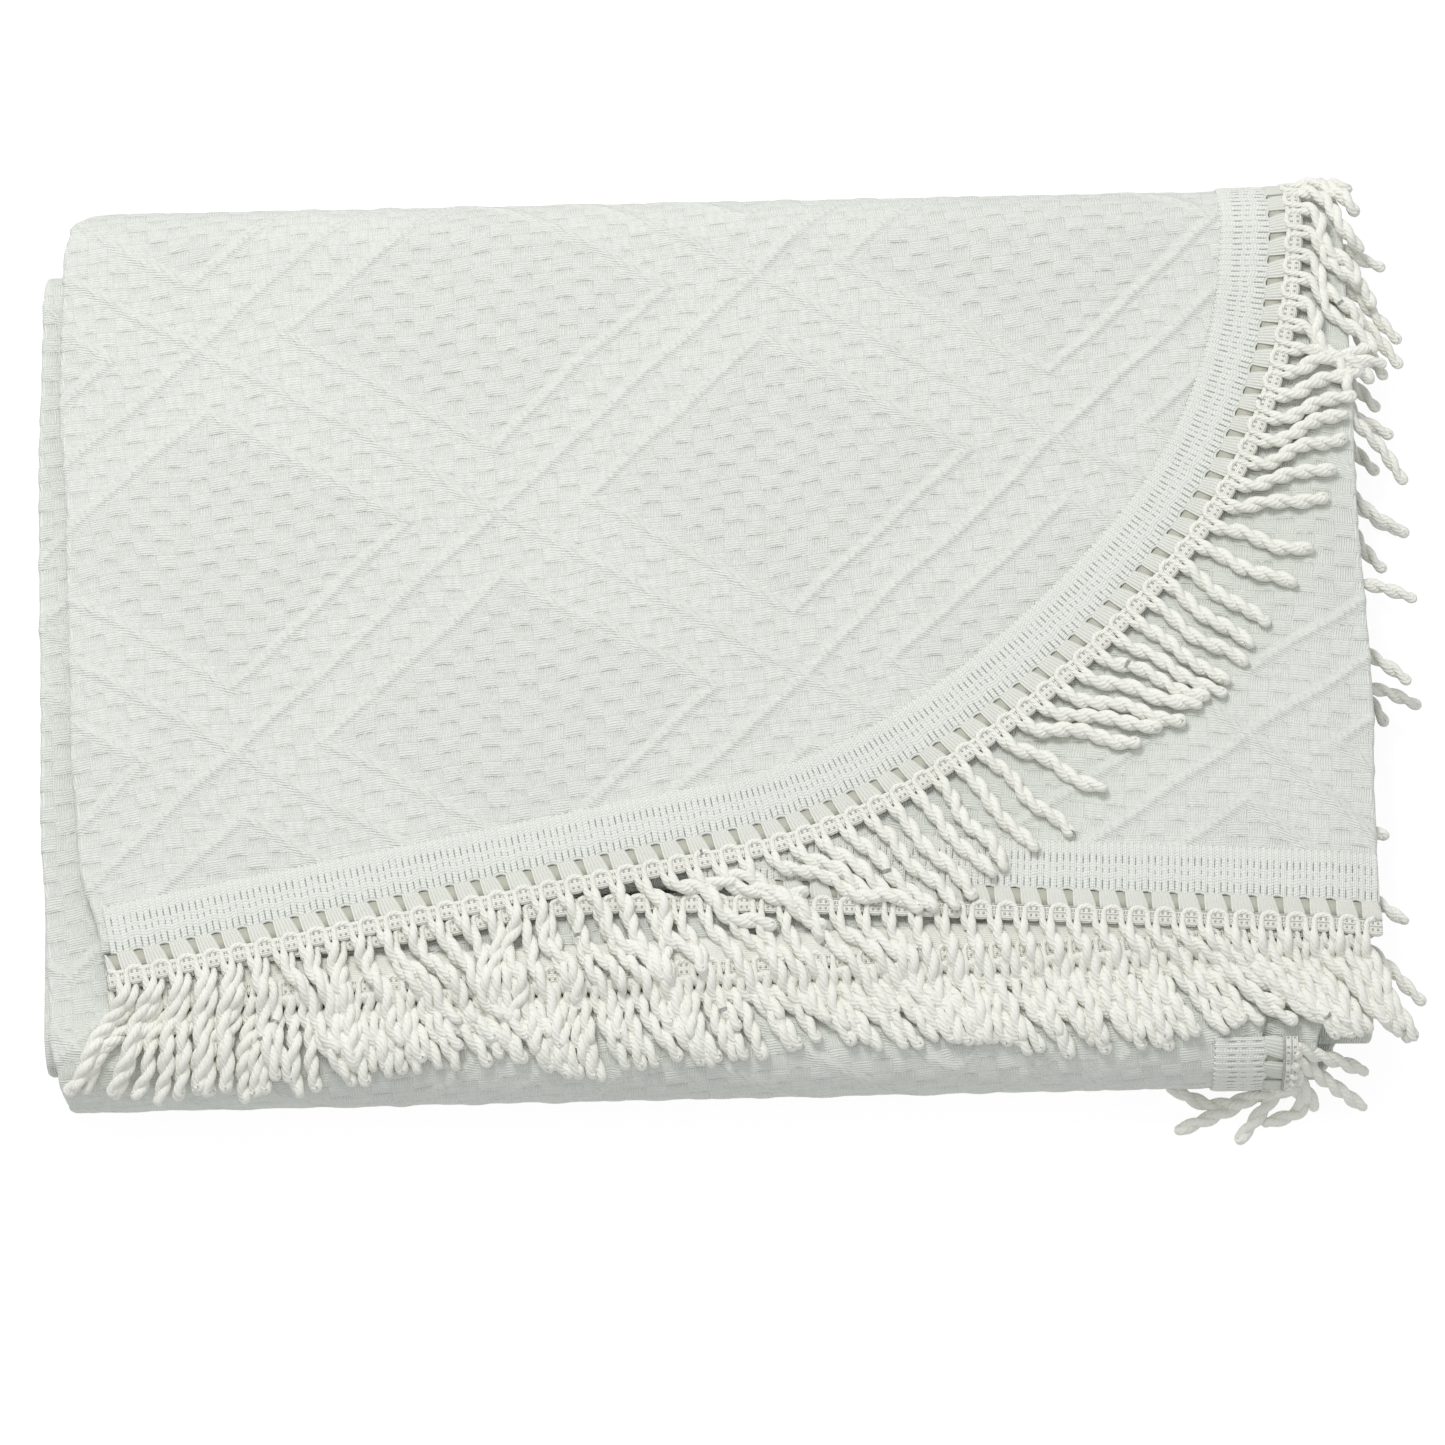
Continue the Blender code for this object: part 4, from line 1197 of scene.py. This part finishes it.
class Graph:
    """Short forms for the shader nodes of one material. x, y and z are the pattern place's numbers."""

    def __init__(self, name, colour, roughness):
        self.material = bpy.data.materials.new(name)
        self.material.use_nodes = True
        self.tree = self.material.node_tree
        self.shader = self.tree.nodes["Principled BSDF"]
        self.shader.inputs["Roughness"].default_value = roughness
        self.shader.inputs["Base Color"].default_value = colour
        self.place = self.node("Attribute", "Vector", {}, attribute_name="place")
        self.x, self.y, self.z = (self.node("SeparateXYZ", axis, {0: self.place}) for axis in "XYZ")

    def node(self, kind, output, inputs, **settings):
        """A node's output. Its inputs, by name or number, are linked to terms or set to numbers."""
        node = self.tree.nodes.new("ShaderNode" + kind)
        for name, value in settings.items():
            setattr(node, name, value)
        for name, value in inputs.items():
            if isinstance(value, Term):
                self.tree.links.new(value.output, node.inputs[name])
            else:
                node.inputs[name].default_value = value
        return Term(self, node.outputs[output])

    def math(self, operation, *values, clamp=False):
        return self.node("Math", 0, dict(enumerate(values)), operation=operation, use_clamp=clamp)

    def sine(self, turns):
        return self.math("SINE", turns * (2 * math.pi))

    def range(self, value, low, high, to_low=0.0, to_high=1.0):
        ends = {"From Min": low, "From Max": high, "To Min": to_low, "To Max": to_high}
        return self.node("MapRange", "Result", {"Value": value, **ends}, interpolation_type="SMOOTHSTEP")

    def near(self, value, middle, low, high, most=1.0):
        """Most at a middle value, down to nothing from low to high away from it."""
        return self.range(abs(value - middle), low, high, most, 0.0)

    def noise(self, scale, detail=2.0, vector=None):
        vector = vector or self.node("TexCoord", "Object", {})
        return self.node("TexNoise", "Fac", {"Scale": scale, "Detail": detail, "Vector": vector})

    def streaks(self, scale):
        """Noise over the pattern places, stretched by a scale for each axis."""
        stretched = self.node("VectorMath", 0, {0: self.place, 1: scale}, operation="MULTIPLY")
        return self.noise(1.0, 2.0, stretched)

    def mix(self, factor, low, high):
        return self.node("Mix", 2, {"Factor": factor, 6: low, 7: high}, data_type="RGBA")

    def finish(self, colour, height, distance):
        """Gives the material its colour, and its relief as a bump of so many metres."""
        relief = {"Distance": distance, "Strength": 1.0, "Height": height}
        normal = self.node("Bump", "Normal", relief)
        self.tree.links.new(colour.output, self.shader.inputs["Base Color"])
        self.tree.links.new(normal.output, self.shader.inputs["Normal"])
        return self.material


CLOTH_LIGHT = (0.828, 0.848, 0.794, 1.0)
# Painted shade in the cloth's grooves and yarn gaps, and its darker mottle
CLOTH_SHADE_AND_MOTTLE = (0.48, 0.51, 0.45, 1.0)
TRIM_LIGHT = (0.875, 0.888, 0.835, 1.0)
# Painted shade in the tape's slots and valleys
TRIM_SHADE = (0.50, 0.51, 0.44, 1.0)
CORD_LIGHT = (0.908, 0.905, 0.842, 1.0)
# Random mottle of the yarn and painted shade between its fibres
CORD_SHADE_AND_MOTTLE = (0.74, 0.73, 0.62, 1.0)
# Painted shade between the threads of the openwork
BUNDLE_SHADE = (0.64, 0.66, 0.61, 1.0)
# Painted shade in the lace's pin holes and on the strip behind the openwork
HOLE_SHADE = (0.50, 0.50, 0.42, 1.0)
RIDGE_HALF = 0.62
EVEN_CELLS = 4000.0
CLOTH_BUMP = 0.0005
TAPE_BUMP = 0.0006
CORD_BUMP = 0.00045


def cloth_material():
    """Checkerboard of horizontal and vertical floats inside diamonds, with smooth twill ridges. Its darker
    colour is painted shade in the grooves, between the yarns and beside the ridges, plus the cloth's own
    streaks and mottle.
    """
    g = Graph("jacquard_cotton", CLOTH_LIGHT, 0.92)
    wobble = (g.noise(160.0) - 0.5) * 0.16
    u, v = g.x + wobble, g.y + wobble
    across, up = g.math("FRACT", u), g.math("FRACT", v)
    parity = g.math("MODULO", g.math("FLOOR", u) + g.math("FLOOR", v) + EVEN_CELLS, 2.0)
    half = DIAMOND / 2
    far = g.math("MAXIMUM", *(abs(g.math("WRAP", way, half, -half)) for way in (u + v, u - v)))
    ridge = g.math("MINIMUM", abs(far - half), abs(far - INNER_DIAMOND))
    cells = g.range(ridge, 0.55, 0.8) * g.range(far, INNER_DIAMOND - 0.5, INNER_DIAMOND, 1.0, 0.85)
    raised = g.math("LESS_THAN", parity, 0.5) * cells
    sunk = cells - raised
    upright = g.sine(u * 8.0)
    yarns = g.sine(v * 6.0) * raised + upright * sunk + g.sine(v * 6.0 + u * 2.0) * (0.8 - cells * 0.8)
    ends = abs(across * 2.0 - 1.0)
    # groove: a dent at the lower edge of each raised cell, darkened with painted shade
    groove = g.range(up, 0.0, 0.16, 1.0, 0.0) * g.range(ends, 0.70, 1.0, 1.0, 0.0) * raised
    groove = groove * g.range(g.noise(330.0), 0.34, 0.64, 0.15, 1.0)
    # comb: painted shade between the upright yarns at the top of each sunk cell
    comb = g.range(up, 0.45, 0.98) * sunk * (0.5 - upright * 0.5)
    sides = g.range(ends, 0.84, 1.0) * cells
    dashes = g.range(g.sine(u * 2.4 + v), 0.1, 0.8) * g.range(ridge, 0.25, 0.55, 1.0, 0.0)
    dashes = dashes * g.range(g.noise(260.0), 0.36, 0.6)
    # rim: a line of painted shade along each side of a ridge
    rim = g.near(ridge, RIDGE_HALF, 0.04, 0.20)
    streak = g.range(g.streaks((0.5, 5.0, 1.0)), 0.40, 0.72)
    mottle = g.range(g.noise(700.0, 3.0), 0.45, 0.7)
    height = yarns * 0.32 + g.noise(1500.0, 3.0) * 0.5 - groove * 1.2 - sides * 0.15 - dashes * 0.4
    height = height + g.range(ridge, 0.0, RIDGE_HALF, 1.5, 0.0)
    # Painted shade from the grooves, comb, rim and yarn gaps, with the twill ticks; streak and mottle are
    # the cloth's own tone
    shade = groove * 0.62 + comb * 0.27 + rim * 0.07 + dashes * 0.17 + (0.5 - yarns * 0.5) * 0.17
    shade = g.math("ADD", shade + streak * 0.13, mottle * 0.06, clamp=True)
    return g.finish(g.mix(shade, CLOTH_LIGHT, CLOTH_SHADE_AND_MOTTLE), height, CLOTH_BUMP)


def tape_material():
    """Knitted tape: fine threads along each rib and slots between them, which are darkened with painted
    shade, as are the valleys between ribs and the gaps between crossing threads.
    """
    g = Graph("knitted_tape", TRIM_LIGHT, 0.9)
    rib = abs(g.sine(g.x * 0.5))
    first, last = g.near(g.y, 0.32, 0.06, 0.11), g.near(g.y, 0.83, 0.07, 0.12)
    rows = g.math("MAXIMUM", g.math("MAXIMUM", first, g.near(g.y, 0.54, 0.03, 0.06, 0.7)), last)
    # slots: dents between the ribs, darkened with painted shade
    slots = g.range(rib, 0.0, 0.42, 1.0, 0.0) * rows * g.range(g.noise(330.0), 0.30, 0.55, 0.2, 1.0)
    crossing = g.sine(g.y * 17.0)
    edges = (0.5 - crossing * 0.5) * (1.0 - rows)
    height = g.sine(g.x * 3.0) * 0.18 + crossing * 0.2 + g.noise(1400.0) * 0.4 - slots * 1.2
    # Painted shade in the slots, the valleys between ribs and, below, between crossing threads
    shade = slots * 0.62 + g.range(rib, 0.05, 0.55, 1.0, 0.0) * 0.13
    shade = g.math("ADD", shade, edges * 0.07, clamp=True)
    return g.finish(g.mix(shade, TRIM_LIGHT, TRIM_SHADE), height, TAPE_BUMP)


def cord_material():
    """Cotton yarn with slanted fibres, and the braid's flat lace with its rows of pin holes. Painted shade
    darkens the gaps between fibres, the pin holes, stripes of the openwork and the strip behind it.
    """
    g = Graph("bullion_cotton", CORD_LIGHT, 0.88)
    lace = g.math("GREATER_THAN", g.z, LACE - KIND_STEP / 2)
    # behind: the strip behind the openwork, coloured as painted shade
    behind = g.math("GREATER_THAN", g.z, SHADED - KIND_STEP / 2) - lace
    bundle = g.math("GREATER_THAN", g.z, THREAD - KIND_STEP) - (lace + behind)
    fibres = g.math("SINE", g.math("ARCTAN2", g.y, g.x) * 5.0 + g.z * 2.4)
    aside = abs(g.math("FRACT", g.x) - 0.5) * PITCH
    columns = g.math("MAXIMUM", g.near(aside, 1.2, 0.2, 0.55), g.near(aside, 5.2, 0.15, 0.5))
    holes = columns * g.near(abs(g.y - 0.1), 1.5, 0.35, 0.7) * lace
    yarn = fibres * (1.0 - lace)
    stitch = g.sine(g.y * (1 / 0.875)) * lace
    height = yarn * 0.26 + stitch * 0.25 + g.noise(1300.0, 3.0) * 0.7 - holes * 1.2
    # Random mottle, plus painted shade in the gaps between fibres
    tone_and_shade = g.range(g.noise(42.0, 3.0), 0.35, 0.75, 0.0, 0.18) + (0.5 - yarn * 0.5) * 0.09
    colour = g.mix(tone_and_shade, CORD_LIGHT, CORD_SHADE_AND_MOTTLE)
    # Painted shade in stripes between the threads of each openwork bundle
    colour = g.mix(bundle * (0.52 - g.sine(g.x * 6.0) * 0.28), colour, BUNDLE_SHADE)
    # Painted shade in the pin holes and on the strip behind the openwork
    colour = g.mix(g.math("MAXIMUM", holes * 0.85, behind), colour, HOLE_SHADE)
    return g.finish(colour, height, CORD_BUMP)


def make_floor():
    """A white sweep. It glows a little, so that the ground stays as plain as in the picture."""
    bpy.ops.mesh.primitive_plane_add(size=8.0)
    floor = bpy.context.object
    floor.name = "floor"
    floor.location.z = -0.0004
    paint = bpy.data.materials.new("floor_white")
    paint.use_nodes = True
    shader = paint.node_tree.nodes["Principled BSDF"]
    shader.inputs["Base Color"].default_value = (0.30, 0.30, 0.30, 1.0)
    shader.inputs["Roughness"].default_value = 1.0
    shader.inputs["Emission Color"].default_value = (1.0, 1.0, 1.0, 1.0)
    shader.inputs["Emission Strength"].default_value = 0.82
    floor.data.materials.append(paint)
    floor.visible_diffuse = False


SKY_STRENGTH = 0.64
KEY_POWER = 24.5
KEY_SIZE = 0.8
KEY_PLACE = (-0.48, 0.88, 2.0)


def make_lighting():
    """Soft daylight from the back, low enough to bring out the weave."""
    world = bpy.data.worlds.new("studio")
    world.use_nodes = True
    background = world.node_tree.nodes["Background"]
    background.inputs["Color"].default_value = (0.98, 0.99, 1.0, 1.0)
    background.inputs["Strength"].default_value = SKY_STRENGTH
    bpy.context.scene.world = world
    data = bpy.data.lights.new("key", "AREA")
    data.energy = KEY_POWER
    data.shape = "DISK"
    data.size = KEY_SIZE
    lamp = bpy.data.objects.new("key", data)
    lamp.location = KEY_PLACE
    lamp.rotation_euler = (-Vector(KEY_PLACE)).to_track_quat("-Z", "Y").to_euler()
    bpy.context.scene.collection.objects.link(lamp)
    bpy.context.scene.view_settings.view_transform = "Standard"


CAMERA_ELEVATION = math.radians(70.0)
CAMERA_YAW = math.radians(1.3)
CAMERA_DISTANCE = 2.9
VIEW_WIDTH = 0.655
PHOTO_SIDE = 1445.0
TARGET_PIXEL_Y = 660.0


def make_camera():
    """The photograph's view. The target point lies a little above the picture's middle."""
    data = bpy.data.cameras.new("camera")
    data.sensor_width = 36.0
    data.lens = data.sensor_width * CAMERA_DISTANCE / VIEW_WIDTH
    data.shift_y = (TARGET_PIXEL_Y - PHOTO_SIDE / 2) / PHOTO_SIDE
    camera = bpy.data.objects.new("camera", data)
    level = math.cos(CAMERA_ELEVATION)
    ahead = Vector((level * math.sin(CAMERA_YAW), level * math.cos(CAMERA_YAW), -math.sin(CAMERA_ELEVATION)))
    target = Vector((0.0, 0.0, 0.045)) - Vector(CENTRE.tolist()) * MM
    camera.location = target - ahead * CAMERA_DISTANCE
    camera.rotation_euler = ahead.to_track_quat("-Z", "Y").to_euler()
    bpy.context.scene.collection.objects.link(camera)
    bpy.context.scene.camera = camera


def main():
    cotton, knitted, yarn = cloth_material(), tape_material(), cord_material()
    make_floor()
    make_lighting()
    make_camera()
    corner, foot, front = corner_rail(), foot_rail(FOOT_BRAID_B, TOP_B), front_rail()
    tapes = [
        make_tape("tape_corner", corner, 3.0, corner.length - 1.0, 3.2, knitted, "heading_tape_corner"),
        make_tape("tape_foot", foot, 262.0, foot.length - 0.5, 7.7, knitted, "heading_tape_foot"),
        make_tape("tape_front", front, 1.0, front.length - 1.0, 1.0, knitted, "heading_tape_front"),
    ]
    fringe_corner = make_corner_fringe(yarn)
    fringe_foot, fringe_under = make_foot_fringes(yarn)
    fringe_front = make_front_fringe(yarn)
    side = make_side_fringes(yarn)
    for maker, trims in (
        (make_top_cloth, [tapes[0], fringe_corner]),
        (make_rolled_cloth, [tapes[2], fringe_front]),
        (make_inner_cloth, [tapes[1], fringe_foot, fringe_under, *side]),
    ):
        cloth, area, flat = maker(cotton)
        print(cloth.name, len(cloth.data.polygons), round(area, 4), flat)
        area = min(area, flat[0] * flat[1])
        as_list(trims)


main()
